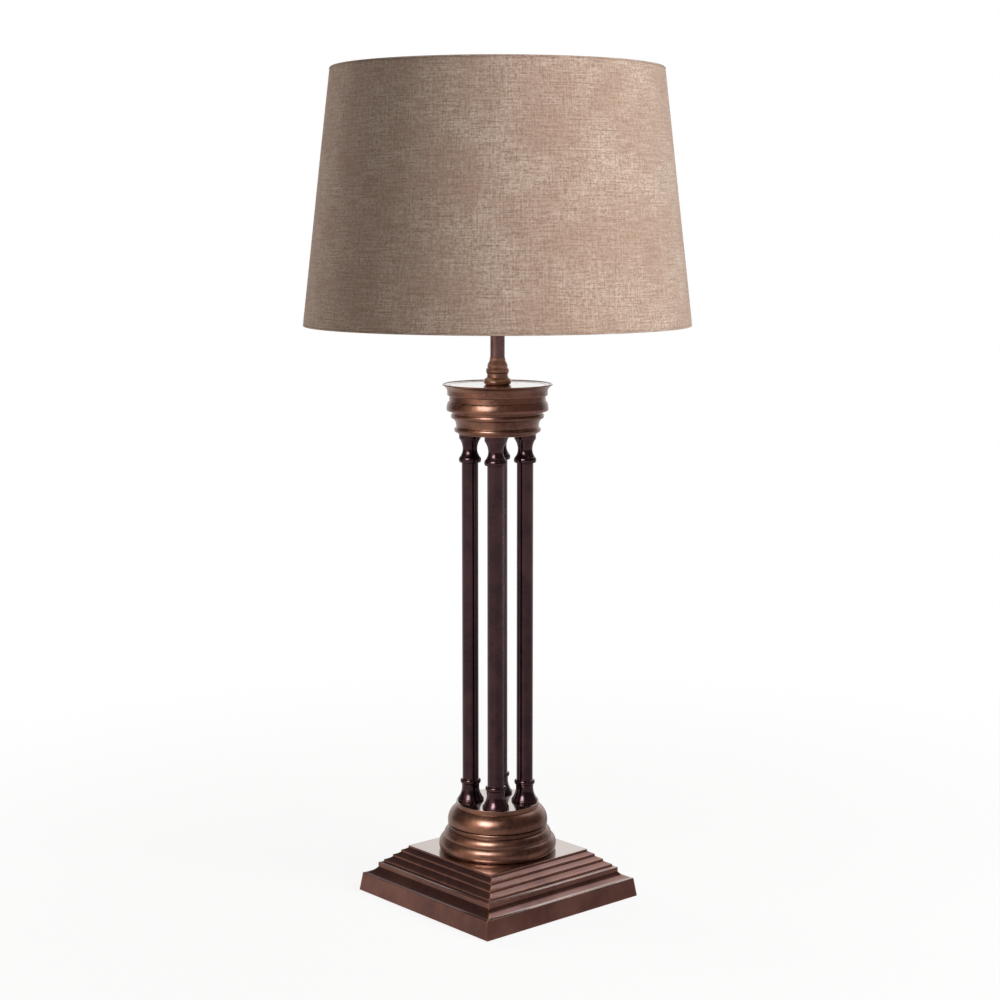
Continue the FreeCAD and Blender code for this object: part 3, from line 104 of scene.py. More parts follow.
# %% Helpers for node trees
def colour(red, green, blue):
    """A screen colour from 0 to 255 as the linear value that the shader wants."""
    screen = np.array((red, green, blue)) / 255.0
    linear = np.where(screen <= 0.04045, screen / 12.92, ((screen + 0.055) / 1.055) ** 2.4)
    return (*linear.tolist(), 1.0)


def feed(tree, node, inputs):
    """Links each input whose value is a socket, and sets each one whose value isn't."""
    for key, value in dict(inputs).items():
        if isinstance(value, bpy.types.NodeSocket):
            tree.links.new(value, node.inputs[key])
        else:
            node.inputs[key].default_value = value


def add(tree, kind, inputs=(), **settings):
    """One node of a kind, with its settings made and its inputs linked or set."""
    node = tree.nodes.new(kind)
    for key, value in settings.items():
        setattr(node, key, value)
    feed(tree, node, inputs)
    return node


def sum_of(tree, operation, *values, clamp=False):
    """A Math node's result."""
    node = add(tree, "ShaderNodeMath", enumerate(values), operation=operation, use_clamp=clamp)
    return node.outputs[0]


def times(tree, first, second, clamp=False):
    """The product of two values."""
    return sum_of(tree, "MULTIPLY", first, second, clamp=clamp)


def times_plus(tree, first, second, third):
    """The product of two values, plus a third."""
    return sum_of(tree, "MULTIPLY_ADD", first, second, third)


def over(tree, first, second):
    """The first value divided by the second."""
    return sum_of(tree, "DIVIDE", first, second)


def dot(tree, vector, direction):
    """How far a vector reaches along a direction."""
    inputs = {0: vector, 1: tuple(direction)}
    return add(tree, "ShaderNodeVectorMath", inputs, operation="DOT_PRODUCT").outputs["Value"]


def attribute(tree, title):
    """A number that a mesh carries on its points."""
    node = add(tree, "ShaderNodeAttribute", attribute_name=title, attribute_type="GEOMETRY")
    return node.outputs["Fac"]


def noise(tree, vector, scale, detail=2.0, roughness=0.5):
    """Cloudy noise from 0 to 1, mostly near a half."""
    inputs = {"Vector": vector, "Scale": scale, "Detail": detail, "Roughness": roughness}
    return add(tree, "ShaderNodeTexNoise", inputs).outputs["Fac"]


def spread(tree, value, low, high, to_low=0.0, to_high=1.0):
    """A value between low and high, carried smoothly to another range and kept in it."""
    inputs = {"Value": value, "From Min": low, "From Max": high, "To Min": to_low, "To Max": to_high}
    return add(tree, "ShaderNodeMapRange", inputs, interpolation_type="SMOOTHSTEP").outputs["Result"]


def mixed(tree, share, first, second):
    """Two colours mixed by a share from 0 to 1.

    The node's inputs for numbers, vectors and colours have the same names, so they go by number.
    """
    inputs = {0: share, 6: first, 7: second}
    return add(tree, "ShaderNodeMix", inputs, data_type="RGBA").outputs[2]


def new_group(title, numbers, results):
    """A node group that takes a place and some numbers: its tree, what enters and where results leave."""
    tree = bpy.data.node_groups.new(title, "ShaderNodeTree")
    tree.interface.new_socket("Vector", in_out="INPUT", socket_type="NodeSocketVector")
    for name, value in numbers.items():
        socket = tree.interface.new_socket(name, in_out="INPUT", socket_type="NodeSocketFloat")
        socket.default_value = value
    for name in results:
        tree.interface.new_socket(name, in_out="OUTPUT", socket_type="NodeSocketFloat")
    return tree, tree.nodes.new("NodeGroupInput").outputs, tree.nodes.new("NodeGroupOutput")


def give(tree, leave, results):
    """Links the results of a group to its output sockets."""
    feed(tree, leave, results)
    print("group:", tree.name)


def placed(tree, group, inputs):
    """A group node whose tree is set before its inputs are."""
    return add(tree, "ShaderNodeGroup", inputs, node_tree=group).outputs


print("node helpers ready")


# %% [markdown]
# ## Effects that several finishes share
#
# Four effects turn up again and again on this lamp, so each is a group. *Patina* is the cloudy
# tone of bronze that has been darkened with chemicals: large clouds, small mottling and fine
# specks. *Edge wear* reads the number that every turned or cast surface here carries on its
# points, above zero on an outer edge and below zero in an inner corner, and breaks it up with
# noise, because hands rub an edge unevenly. *Turning marks* are the hair-fine rings that a lathe
# tool and polishing cloth leave. *Grain* is the faint unevenness of plastic, china and plate.

# %% Patina
MOTTLES_PER_CLOUD = 7.0
SPECKS_PER_CLOUD = 60.0

patina, entry, leave = new_group("patina", {"Cloud Size": 0.03}, ("Cloud", "Mottle", "Speck"))
place = entry["Vector"]
per_cloud = over(patina, 1.0, entry["Cloud Size"])
cloud = noise(patina, place, per_cloud, detail=3.0, roughness=0.55)
mottle = noise(patina, place, times(patina, per_cloud, MOTTLES_PER_CLOUD), detail=4.0)
speck = noise(patina, place, times(patina, per_cloud, SPECKS_PER_CLOUD), detail=1.0)
give(patina, leave, {"Cloud": spread(patina, cloud, 0.36, 0.64),
                     "Mottle": spread(patina, mottle, 0.34, 0.66),
                     "Speck": spread(patina, speck, 0.60, 0.72)})

# %% Edge wear
edge_wear, entry, leave = new_group("edge_wear", {"Patch Size": 0.018}, ("Worn", "Grimy"))
edge_value = attribute(edge_wear, "edge")
patches = noise(edge_wear, entry["Vector"], over(edge_wear, 1.0, entry["Patch Size"]))
rubbed = spread(edge_wear, patches, 0.38, 0.62)
give(edge_wear, leave, {"Worn": times(edge_wear, edge_value, rubbed, clamp=True),
                        "Grimy": times(edge_wear, edge_value, -1.0, clamp=True)})

# %% Turning marks
DRIFTS_PER_METRE = 25.0
RING_WANDER = 0.9 * mm

turning_marks, entry, leave = new_group("turning_marks", {"Pitch": 0.0006}, ("Ring",))
drift = noise(turning_marks, entry["Vector"], DRIFTS_PER_METRE, detail=1.0)
wandering = times_plus(turning_marks, drift, RING_WANDER, attribute(turning_marks, "along"))
rings = times(turning_marks, wandering, over(turning_marks, 1.0, entry["Pitch"]))
ring = add(turning_marks, "ShaderNodeTexNoise", {"W": rings, "Scale": 1.0, "Detail": 3.0},
           noise_dimensions="1D")
give(turning_marks, leave, {"Ring": ring.outputs["Fac"]})

# %% Grain
SPECKS_PER_GRAIN = 11.0

grain, entry, leave = new_group("grain", {"Size": 0.004}, ("Soft", "Fine"))
place = entry["Vector"]
per_size = over(grain, 1.0, entry["Size"])
give(grain, leave, {"Soft": noise(grain, place, per_size, detail=3.0),
                    "Fine": noise(grain, place, times(grain, per_size, SPECKS_PER_GRAIN))})


# %% [markdown]
# ## Bronze
#
# The metal in the photograph is a dark reddish brown that glows copper and gold where light
# falls on it, under a thin wax or lacquer. A metal has no colour of its own under its highlight:
# its base colour tints whatever it mirrors. So the clouds of the patina mix three tints, worn
# edges go to bare golden metal, inner corners keep a dark line, and a thin clear coat adds a
# second, whiter highlight. Faces that lie level are smoother and more coated than the rest, and
# their tint is paler: a painted reflection of the white backdrop that they mirror.

# %% Bronze finishes
def start_material(title):
    """An empty material: its tree, its Principled shader and its Object coordinates."""
    material = bpy.data.materials.new(title)
    material.use_nodes = True
    tree = material.node_tree
    shader = tree.nodes["Principled BSDF"]
    place = tree.nodes.new("ShaderNodeTexCoord").outputs["Object"]
    return material, tree, shader, place


def raised(tree, height, depth):
    """The normal of a relief, from its height and what a height of 1 is in metres."""
    bump = add(tree, "ShaderNodeBump", {"Height": height, "Strength": 1.0, "Distance": depth})
    return bump.outputs["Normal"]


# The pale tint of level faces is a painted reflection of the white backdrop.
LEVEL_PAINTED_REFLECTION = colour(206, 190, 182)
GRIME = colour(30, 20, 18)
MOTTLE_REACH = 0.28
RING_REACH = 0.15
GRIME_REACH = 0.35
LEVEL_PAINTED_REFLECTION_REACH = 0.75
MOTTLE_DULLS = 0.06
WEAR_DULLS = -0.04
GRIME_DULLS = 0.1
WIPING_DULLS = -0.6
SPECK_DEPTH = -0.5
COAT_ROUGHNESS = 0.14


def bronze(title, *tints, dull, cloud_size=0.03, wear_reach=0.35, coat=0.3, relief=0.0000025):
    """Patinated bronze. Its tints are the deep, body and glow of its clouds, and the rubbed edge."""
    material, tree, shader, place = start_material(title)
    deep, body, glow, bare = (colour(*tint) for tint in tints)
    tone = placed(tree, patina, {"Vector": place, "Cloud Size": cloud_size})
    rub = placed(tree, edge_wear, {"Vector": place})
    marks = placed(tree, turning_marks, {"Vector": place})
    level = attribute(tree, "level")
    tint = mixed(tree, tone["Cloud"], deep, body)
    tint = mixed(tree, times(tree, tone["Mottle"], MOTTLE_REACH), tint, glow)
    tint = mixed(tree, times(tree, marks["Ring"], RING_REACH), tint, deep)
    tint = mixed(tree, times(tree, rub["Worn"], wear_reach, clamp=True), tint, bare)
    tint = mixed(tree, times(tree, rub["Grimy"], GRIME_REACH), tint, GRIME)
    # Painted reflection: level faces are mixed towards a pale tint.
    tint = mixed(tree, times(tree, level, LEVEL_PAINTED_REFLECTION_REACH), tint, LEVEL_PAINTED_REFLECTION)
    roughness = times_plus(tree, tone["Mottle"], MOTTLE_DULLS, dull)
    roughness = times_plus(tree, rub["Worn"], WEAR_DULLS, roughness)
    roughness = times_plus(tree, rub["Grimy"], GRIME_DULLS, roughness)
    roughness = times_plus(tree, level, WIPING_DULLS * dull, roughness)
    height = times_plus(tree, tone["Speck"], SPECK_DEPTH, marks["Ring"])
    feed(tree, shader, {"Base Color": tint, "Roughness": roughness, "Normal": raised(tree, height, relief),
                        "Coat Weight": times_plus(tree, level, 1.0 - coat, coat),
                        "Metallic": 1.0, "Coat Roughness": COAT_ROUGHNESS})
    return material


brown_bronze = bronze("bronze_patina", (98, 66, 58), (138, 98, 82), (158, 110, 76), (196, 142, 102),
                      dull=0.3)
plinth_bronze = bronze("plinth_patina", (96, 62, 58), (122, 85, 76), (140, 92, 66), (204, 136, 84),
                       dull=0.18, cloud_size=0.06, wear_reach=0.42)
dark_bronze = bronze("column_patina", (52, 33, 37), (72, 47, 51), (82, 54, 58), (112, 80, 78),
                     dull=0.17, wear_reach=0.3, relief=0.000001)
print("bronzes:", brown_bronze.name, plinth_bronze.name, dark_bronze.name)


# %% [markdown]
# ## A profile from corners and arcs
#
# Every turned piece, and the plinth too, is a profile that is carried round. A profile here is a
# list of corners, each with its distance from the axis and its height in millimetres. A third
# number says how the stretch that leaves the corner is bent: it is the tangent of a quarter of
# the turn, above zero for a swelling and below zero for a hollow. No cast or turned edge is
# perfectly sharp, so every corner is eased by a fraction of a millimetre, which catches a line
# of light. The same step marks the edges, for the wear, and measures the way along the profile,
# for the turning marks.

# %% From corners to a profile
QUARTER = math.tan(math.radians(22.5))
FULL = 0.8
SOFT = 0.28
HOLLOW = 0.22
SLIGHT = 0.12
FAINT = 0.06
ARC_STEP = math.radians(7.0)
STRAIGHT = 1e-6
LARGEST_TRIM = 0.2
LEAST_EDGE_TURN = 0.12
SHARP_TURN = 0.9
EDGE_FADE = np.array((0.5, 0.9, 1.0, 0.9, 0.5))


def along_arc(start, finish, bend, share):
    """Points of an arc at the given shares of its length, as complex numbers.

    With half the turn called f, the point at share s is start + chord * sin(f s) / sin(f), turned
    by f (s - 1). A bend of zero is a straight line.
    """
    half_turn = 2.0 * math.atan(bend)
    chord = finish - start
    if abs(half_turn) < STRAIGHT:
        return start + chord * share
    reach = np.sin(half_turn * share) / math.sin(half_turn)
    return start + chord * reach * np.exp(1j * half_turn * (share - 1.0))


def arc_length(start, finish, bend):
    """Length of the arc over a chord: the chord times f / sin(f)."""
    half_turn = 2.0 * math.atan(bend)
    stretch = 1.0 if abs(half_turn) < STRAIGHT else half_turn / math.sin(half_turn)
    return abs(finish - start) * stretch


def eased_profile(corners, ease):
    """The closed profile as points in metres, with each corner eased.

    Each corner is replaced by a short curve that starts and ends the ease before and after it. A
    corner's own fourth number goes before the common ease. A second pair of points stands twice as
    far off, so that the flats beside it stay flat. Beside the points it gives each one's edge
    value, from -1 in an inner corner to 1 on an outer one, and its way along the profile.
    """
    count = len(corners)
    spots = [complex(corner[0], corner[1]) * mm for corner in corners]
    bends = [corner[2] if len(corner) > 2 else 0.0 for corner in corners]
    eases = [corner[3] * mm if len(corner) > 3 else ease for corner in corners]
    lengths = [arc_length(spots[i], spots[(i + 1) % count], bends[i]) for i in range(count)]
    trims_out = [min(eases[i], LARGEST_TRIM * lengths[i]) / lengths[i] for i in range(count)]
    trims_in = [min(eases[(i + 1) % count], LARGEST_TRIM * lengths[i]) / lengths[i] for i in range(count)]
    points = []
    edges = []
    for i in range(count):
        before = (i - 1) % count
        following = (i + 1) % count
        arrive = along_arc(spots[before], spots[i], bends[before], 1.0 - trims_in[before])
        depart = along_arc(spots[i], spots[following], bends[i], trims_out[i])
        turn = np.angle((depart - spots[i]) / (spots[i] - arrive))
        sharp = 0.0
        if abs(turn) > LEAST_EDGE_TURN:
            sharp = math.copysign(min(1.0, abs(turn) / SHARP_TURN), turn)
        share = np.linspace(0.0, 1.0, len(EDGE_FADE))
        points.append(arrive * (1 - share) ** 2 + spots[i] * 2 * share * (1 - share) + depart * share ** 2)
        edges.append(EDGE_FADE * sharp)
        steps = 1 + int(abs(4 * math.atan(bends[i])) / ARC_STEP)
        share = np.linspace(2 * trims_out[i], 1 - 2 * trims_in[i], steps + 1)
        points.append(along_arc(spots[i], spots[following], bends[i], share))
        edges.append(np.zeros(steps + 1))
    points = np.concatenate(points)
    gaps = np.abs(np.diff(points, prepend=points[:1]))
    return points, np.concatenate(edges), np.cumsum(gaps)


sample, _, _ = eased_profile(((10, 0), (20, 0, FULL), (20, 10), (10, 10)), 0.4 * mm)
print("a ring with a round face has", len(sample), "points in its profile")


# %% [markdown]
# ## Surfaces on a grid
#
# A surface is a grid of points: rows run along the profile and columns run round the piece. Each
# square of four neighbours is a face, listed so that its front looks outwards. Where the profile
# touches the axis a whole row falls on one point, and merging the doubles closes that pole.

# %% Mesh from a grid
def surface(name, grid, masks=(), wrap_rows=True, uv=None):
    """A mesh object from a grid of points (rows, columns, 3), with named numbers on its points."""
    rows, columns = grid.shape[:2]
    down = np.arange(rows if wrap_rows else rows - 1)[:, None]
    across = np.arange(columns)[None, :]
    next_down = (down + 1) % rows
    next_across = (across + 1) % columns
    here = down * columns
    below = next_down * columns
    faces = np.stack((here + across, here + next_across, below + next_across, below + across), axis=-1)
    faces = faces.reshape(-1, 4)
    mesh = bpy.data.meshes.new(name)
    mesh.vertices.add(rows * columns)
    mesh.vertices.foreach_set("co", grid.astype(np.float32).ravel())
    mesh.loops.add(faces.size)
    mesh.loops.foreach_set("vertex_index", faces.astype(np.int32).ravel())
    mesh.polygons.add(len(faces))
    mesh.polygons.foreach_set("loop_start", np.arange(0, faces.size, 4, dtype=np.int32))
    mesh.update(calc_edges=True)
    for title, values in dict(masks).items():
        values = np.broadcast_to(values, (rows, columns)).astype(np.float32)
        mesh.attributes.new(title, "FLOAT", "POINT").data.foreach_set("value", values.ravel())
    if uv is not None:
        row, column = np.broadcast_arrays(down, across)
        corner_rows = np.stack((row, row, row + 1, row + 1), -1)
        corner_columns = np.stack((column, column + 1, column + 1, column), -1)
        layer = mesh.uv_layers.new(name="cloth")
        layer.data.foreach_set("uv", uv(corner_rows, corner_columns).astype(np.float32).ravel())
    mesh.polygons.foreach_set("use_smooth", np.ones(len(mesh.polygons), dtype=bool))
    piece = bpy.data.objects.new(name, mesh)
    bpy.context.scene.collection.objects.link(piece)
    return piece


MERGE_DISTANCE = 1e-7


def merge_poles(piece):
    """Points that fall on one place become one, which closes the poles."""
    work = bmesh.new()
    work.from_mesh(piece.data)
    bmesh.ops.remove_doubles(work, verts=work.verts, dist=MERGE_DISTANCE)
    work.to_mesh(piece.data)
    work.free()


def round_angles(count):
    """Angles of a full turn, in equal steps, as one row."""
    return np.linspace(0.0, 2 * math.pi, count, endpoint=False)[None, :]


def round_grid(radius, height, angle, centre=(0.0, 0.0)):
    """A grid round an upright axis: the point at angle a is (r cos a, r sin a, h) from the centre."""
    across = centre[0] + radius * np.cos(angle)
    deep = centre[1] + radius * np.sin(angle)
    return np.stack((across, deep, height + 0 * angle), -1)


# %% Turned pieces
LEVEL_FROM = 0.95
LEVEL_FADE = 0.04
NO_LENGTH = 1e-12


def level_of(profile):
    """1 on the stretches of a profile that face straight up, and 0 on those that lean.

    The inside lies on the left of the profile, so the way along it points at the axis on a level top.
    """
    way = np.gradient(profile)
    uprightness = -way.real / np.maximum(np.abs(way), NO_LENGTH)
    return np.clip((uprightness - LEVEL_FROM) / LEVEL_FADE, 0, 1)


def turned(name, node, corners, material, body="lamp", ease=0.35, columns=144, wave=None):
    """A profile carried round a node's axis, standing where the node stands.

    The axis is the middle of the node's box. A wave, where one is given, changes the radius with
    the angle and the height.
    """
    profile, edge, along = eased_profile(corners, ease * mm)
    low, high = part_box(node)
    foot = low.z - min(corner[1] for corner in corners) * mm
    angle = round_angles(columns)
    radius = profile.real[:, None] + 0 * angle
    height = profile.imag[:, None] + 0 * angle
    if wave is not None:
        radius = wave(radius, height, angle)
    grid = round_grid(radius, foot + height, angle, ((low.x + high.x) / 2, (low.y + high.y) / 2))
    level = level_of(profile)
    piece = surface(name, grid, {"edge": edge[:, None], "along": along[:, None], "level": level[:, None]})
    merge_poles(piece)
    finish_piece(piece, node, material, body)


def finish_piece(piece, node, material, body):
    """Gives a piece its finish, lets it ride on its body and stand for its CAD node."""
    piece.data.materials.append(material)
    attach(piece, body)
    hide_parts(node)
    print(f"{piece.name}: {len(piece.data.polygons)} faces")


print("grids and turned pieces ready")


# %% [markdown]
# ## The plinth
#
# The plinth is cast in one piece: a plain slab, a wide cove, an upright band and four hollowed
# steps that rise to a flat platform. Its profile is carried round a square instead of a circle. A
# square with slightly rounded corners is the sum of a smaller square and a small circle, so the
# mitres stay crisp and still catch a line of light, as the rubbed corner in the photograph does.

# %% Plinth
PLINTH_HALF = 105.75
SLAB_HEIGHT = 19.4
SLAB_TOP_HALF = 103.0
COVE_RUN = 11.9
COVE_RISE = 6.9
BAND_HEIGHT = 4.9
PLINTH_STEPS = ((4.2, 3.1), (6.9, 5.7), (6.3, 5.3), (5.8, 5.1))
STEP_RISER = 2.0
PLINTH_WALL = 4.0
PLINTH_FOOT_WALL = 6.8
ROOF_DROP = 5.0
MIDDLE_HOLE = 30.0
PLINTH_EASE = 0.5 * mm
MITRE_ROUND = 0.9 * mm


def plinth_corners():
    """The plinth's profile, from the foot of its face up to the platform and back inside."""
    corners = [(PLINTH_HALF, 0.0), (SLAB_TOP_HALF, SLAB_HEIGHT, -HOLLOW)]
    across = SLAB_TOP_HALF - COVE_RUN
    height = SLAB_HEIGHT + COVE_RISE
    corners.append((across, height))
    height += BAND_HEIGHT
    for run, rise in PLINTH_STEPS:
        corners.append((across, height, -SLIGHT))
        across -= run
        height += rise
        corners.append((across, height - STEP_RISER))
    corners += [(across, height), (MIDDLE_HOLE, height), (MIDDLE_HOLE, height - ROOF_DROP),
                (across - 2 * PLINTH_WALL, height - ROOF_DROP),
                (SLAB_TOP_HALF - COVE_RUN - PLINTH_WALL, SLAB_HEIGHT - PLINTH_WALL),
                (PLINTH_HALF - PLINTH_FOOT_WALL, 0.0)]
    return corners


# %% A profile carried round a square
NEAR_CORNER = 0.97
FLAT_STEPS = 9
CORNER_STEPS = 6
MITRE_FADE = 0.7
INNER_EDGE = -0.1


def square_path():
    """A unit square once round, as complex numbers: its points, its directions and its corners.

    Along a side the direction stays and the square's point moves. At a corner the point stays and
    the direction turns by a quarter. The third array is 1 round a corner, less at its two ends, and
    0 along a side.
    """
    side = np.concatenate(((-1.0,), np.linspace(-NEAR_CORNER, NEAR_CORNER, FLAT_STEPS), (1.0,)))
    turn = np.linspace(0.0, math.pi / 2, CORNER_STEPS + 1)[1:-1]
    places, directions, corner = [], [], []
    for quarter in range(4):
        spin = 1j ** quarter
        places += [spin * (1 + 1j * side), np.full(len(turn), spin * (1 + 1j))]
        directions += [np.full(len(side), spin), spin * np.exp(1j * turn)]
        corner += [np.where(np.abs(side) == 1.0, MITRE_FADE, 0.0), np.ones(len(turn))]
    return np.concatenate(places), np.concatenate(directions), np.concatenate(corner)


def carried_round_square(name, node, corners, material):
    """A profile carried round a square, with mitres rounded by a small radius.

    The point is (w - c) times the unit square plus c times the direction, where w is the profile's
    distance from the middle and c the rounding.
    """
    profile, edge, along = eased_profile(corners, PLINTH_EASE)
    places, directions, corner = square_path()
    flat = (profile.real[:, None] - MITRE_ROUND) * places[None, :] + MITRE_ROUND * directions[None, :]
    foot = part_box(node)[0].z - min(spot[1] for spot in corners) * mm
    grid = np.stack((flat.real, flat.imag, foot + profile.imag[:, None] + 0 * flat.real), -1)
    level = level_of(profile)
    on_mitre = corner[None, :] * (1 - level[:, None])
    wear = np.where(edge[:, None] < INNER_EDGE, edge[:, None], np.maximum(edge[:, None], on_mitre))
    piece = surface(name, grid, {"edge": wear, "along": along[:, None], "level": level[:, None]})
    finish_piece(piece, node, material, "lamp")


carried_round_square("plinth_casting", "plinth", plinth_corners(), plinth_bronze)


# %% [markdown]
# ## The pedestal
#
# A turned drum stands on the platform: a fat roll at the foot, a second roll that leans in, a thin
# ring between two grooves, a large quarter round and a flat disc for the columns. The order and the
# heights of these mouldings are what makes the piece read as itself, so they are listed one by one.

# %% Pedestal
PEDESTAL = (
    (53.0, 0.0), (59.6, 0.0, SOFT), (62.3, 6.0, SOFT),
    (57.8, 15.0), (57.2, 15.6, SOFT),
    (52.2, 23.8), (50.8, 23.8), (50.8, 25.8),
    (51.7, 25.8, FULL), (51.7, 28.6),
    (50.8, 28.6), (50.8, 29.2),
    (52.4, 29.2, SOFT), (53.0, 31.0, SOFT), (44.3, 47.0),
    (43.4, 47.0), (43.4, 48.2), (44.0, 48.2), (44.0, 52.0),
    (0.0, 52.0), (0.0, 48.0), (38.7, 48.0), (46.0, 25.8), (53.0, 12.0))
turned("pedestal_turning", "pedestal", PEDESTAL, brown_bronze, columns=180)


# %% [markdown]
# ## Four columns
#
# Each column is a tube between a bell-shaped base and a flared cap. The photograph shows them
# darker and glossier than the rest, almost purple. A loop makes the same three pieces at each of
# the four places, where the CAD nodes stand.

# %% Columns
COLUMN_BASE = (
    (5.15, 0.0), (14.0, 0.0), (14.0, 1.8, -HOLLOW), (9.5, 18.5), (10.4, 19.1, SOFT),
    (10.4, 22.9), (9.5, 23.5), (7.2, 23.5), (7.2, 29.5), (5.15, 29.5))
COLUMN_SHAFT = ((7.3, 0.0), (8.6, 0.0), (8.6, 338.5), (7.3, 338.5))
COLUMN_CAP = (
    (5.15, -6.0), (7.2, -6.0), (7.2, 0.0), (9.2, 0.0), (11.0, 0.6, SOFT), (11.0, 5.8),
    (10.4, 6.4, -HOLLOW), (8.0, 18.0, -SLIGHT, 2.5), (11.4, 25.5), (11.4, 30.5), (5.15, 30.5))
for corner_name in CORNER_NAMES:
    for part, corners in (("base", COLUMN_BASE), ("shaft", COLUMN_SHAFT), ("cap", COLUMN_CAP)):
        turned(f"column_{part}_skin_{corner_name}", f"column_{part}_{corner_name}", corners,
               dark_bronze, ease=0.3, columns=72)


# %% [markdown]
# ## The capital, its lid and the neck
#
# The capital is hollow and carries the most mouldings: two fine rings, a hollow, a groove, the
# great roll with its sloping shoulder, a plain frieze that catches a broad golden light, and a crown
# ring that flares into a thin rim. A flat lid lies a little below the rim, and the neck stands on
# it. The neck and the stem get paler tints than the rest: a painted reflection of the lit inside
# of the shade above them.

# %% Capital and lid
CAPITAL = (
    (0.0, 0.0), (41.0, 0.0), (41.0, 1.6), (44.0, 2.2, FULL / 2), (44.0, 7.0), (43.0, 7.0, -HOLLOW),
    (46.0, 16.0), (47.8, 16.6, SOFT), (47.8, 21.0), (47.0, 21.0), (47.0, 24.0),
    (51.6, 24.0), (52.7, 24.5, SLIGHT), (52.7, 29.0, FAINT), (51.6, 33.2),
    (50.3, 33.7), (49.9, 39.8), (52.2, 40.4),
    (52.2, 45.4, -HOLLOW), (57.2, 50.7), (57.2, 52.1), (56.0, 52.1, -SLIGHT),
    (50.0, 50.9), (50.0, 48.4), (44.5, 48.4), (44.5, 23.0), (39.0, 19.0), (39.0, 4.0), (0.0, 4.0))
turned("capital_turning", "capital", CAPITAL, brown_bronze, columns=180)
LID = ((5.15, 0.0), (49.8, 0.0), (49.8, 2.5), (5.15, 2.5))
turned("capital_lid_turning", "capital_lid", LID, brown_bronze, ease=0.25)

# %% Neck and stem
# Paler tints for the neck: a painted reflection of the shade's lit inside.
neck_bronze_painted_reflection = bronze("neck_patina_painted_reflection", (124, 88, 76), (178, 134, 116), (200, 156, 130), (224, 182, 150),
                     dull=0.3)
NECK = (
    (5.15, 0.0), (12.2, 0.0, SOFT), (14.6, 3.6, SOFT), (11.5, 7.2, -SLIGHT), (10.9, 11.8, SOFT),
    (11.9, 14.5, SOFT), (10.9, 17.2), (10.5, 17.2), (10.5, 20.6), (8.8, 24.2), (8.2, 24.8),
    (8.2, 28.0), (5.15, 28.0))
turned("neck_turning", "neck", NECK, neck_bronze_painted_reflection, ease=0.25, columns=96)
# Paler tints for the stem: a painted reflection of the shade's lit inside.
stem_bronze_painted_reflection = bronze("stem_patina_painted_reflection", (100, 74, 74), (138, 108, 106), (148, 114, 106), (184, 144, 124),
                     dull=0.24)
STEM = ((5.4, 0.0), (7.6, 0.0), (7.6, 22.5), (5.4, 22.5))
turned("stem_turning", "stem_tube", STEM, stem_bronze_painted_reflection, ease=0.2, columns=72)


# %% [markdown]
# ## The lampholder
#
# Under the shade a flared cup carries a brass lampholder in two halves. It hardly shows from the
# side, but it does from below and from above, so it gets its rounded foot, its flange for the
# shade, its thread, and a ring with a milled grip that a hand can turn. A milled grip and a thread
# are both waves of the radius: the first runs with the angle, the second with the angle and the
# height together, which makes it a helix.

# %% Brass, and waves for grips and threads
GRIP_TEETH = 48
GRIP_DEPTH = 0.35 * mm
GRIP_FADE = 1.2 * mm
THREAD_PITCH = 2.0 * mm
THREAD_DEPTH = 0.25 * mm
THREAD_FOOT = 16.5 * mm
THREAD_HEAD = 33.5 * mm
THREAD_LEAST_RADIUS = 18.5 * mm

lamp_brass = bronze("lampholder_brass", (150, 112, 66), (186, 146, 88), (204, 168, 110), (232, 202, 150),
                    dull=0.2, cloud_size=0.02, coat=0.2)


def ripple(turn):
    """A wave from 0 to 1 and back, once in each turn."""
    return 0.5 - 0.5 * np.cos(turn)


def helix(height, angle, pitch):
    """The ripple of a thread, which climbs by one pitch in each turn of the angle."""
    return ripple(2 * math.pi * height / pitch - angle)


def milled(radius, height, angle):
    """Teeth round a grip: on the outermost face the radius dips with the angle."""
    outermost = np.clip((radius - radius.max() + GRIP_FADE) / GRIP_FADE, 0, 1)
    return radius - GRIP_DEPTH * outermost * ripple(GRIP_TEETH * angle)


def shell_thread(radius, height, angle):
    """The thread for the shade's ring: a helix between two heights, on the outer face alone."""
    inside = (height > THREAD_FOOT) & (height < THREAD_HEAD) & (radius > THREAD_LEAST_RADIUS)
    return radius - inside * THREAD_DEPTH * helix(height, angle, THREAD_PITCH)


def upright(corners, index, count):
    """The corners of a profile with one straight side divided, so that a wave can bend it."""
    start = corners[index]
    finish = corners[index + 1]
    share = np.arange(1, count)[:, None] / count
    between = np.array(start[:2]) * (1 - share) + np.array(finish[:2]) * share
    return corners[:index + 1] + tuple(map(tuple, between.tolist())) + corners[index + 1:]


# %% Cup and lampholder
CUP = (
    (5.15, 0.0), (8.8, 0.0, -HOLLOW), (18.4, 14.5), (18.4, 15.5), (16.8, 15.5), (16.8, 14.5), (5.15, 14.5))
HOLDER_CAP = (
    (5.15, 0.0), (16.6, 0.0), (16.6, 1.3, QUARTER), (19.2, 5.5), (19.2, 21.0), (17.9, 21.0), (17.9, 7.0),
    (16.0, 7.0), (16.0, 3.0), (5.15, 3.0))
HOLDER_SHELL = (
    (17.9, 0.0), (19.2, 0.0), (19.2, 13.0), (26.0, 13.0), (26.0, 15.0), (19.2, 15.0),
    (19.2, 34.7, QUARTER), (17.9, 36.0), (14.8, 36.0), (14.8, 34.7), (17.9, 34.7))
SHELL_WALL_ABOVE_FLANGE = 5
SHELL_STEPS = 80
COLUMNS_PER_TOOTH = 8
SHADE_RING = ((19.3, 0.0), (24.7, 0.0), (25.5, 0.8), (25.5, 7.2), (24.7, 8.0), (19.3, 8.0))

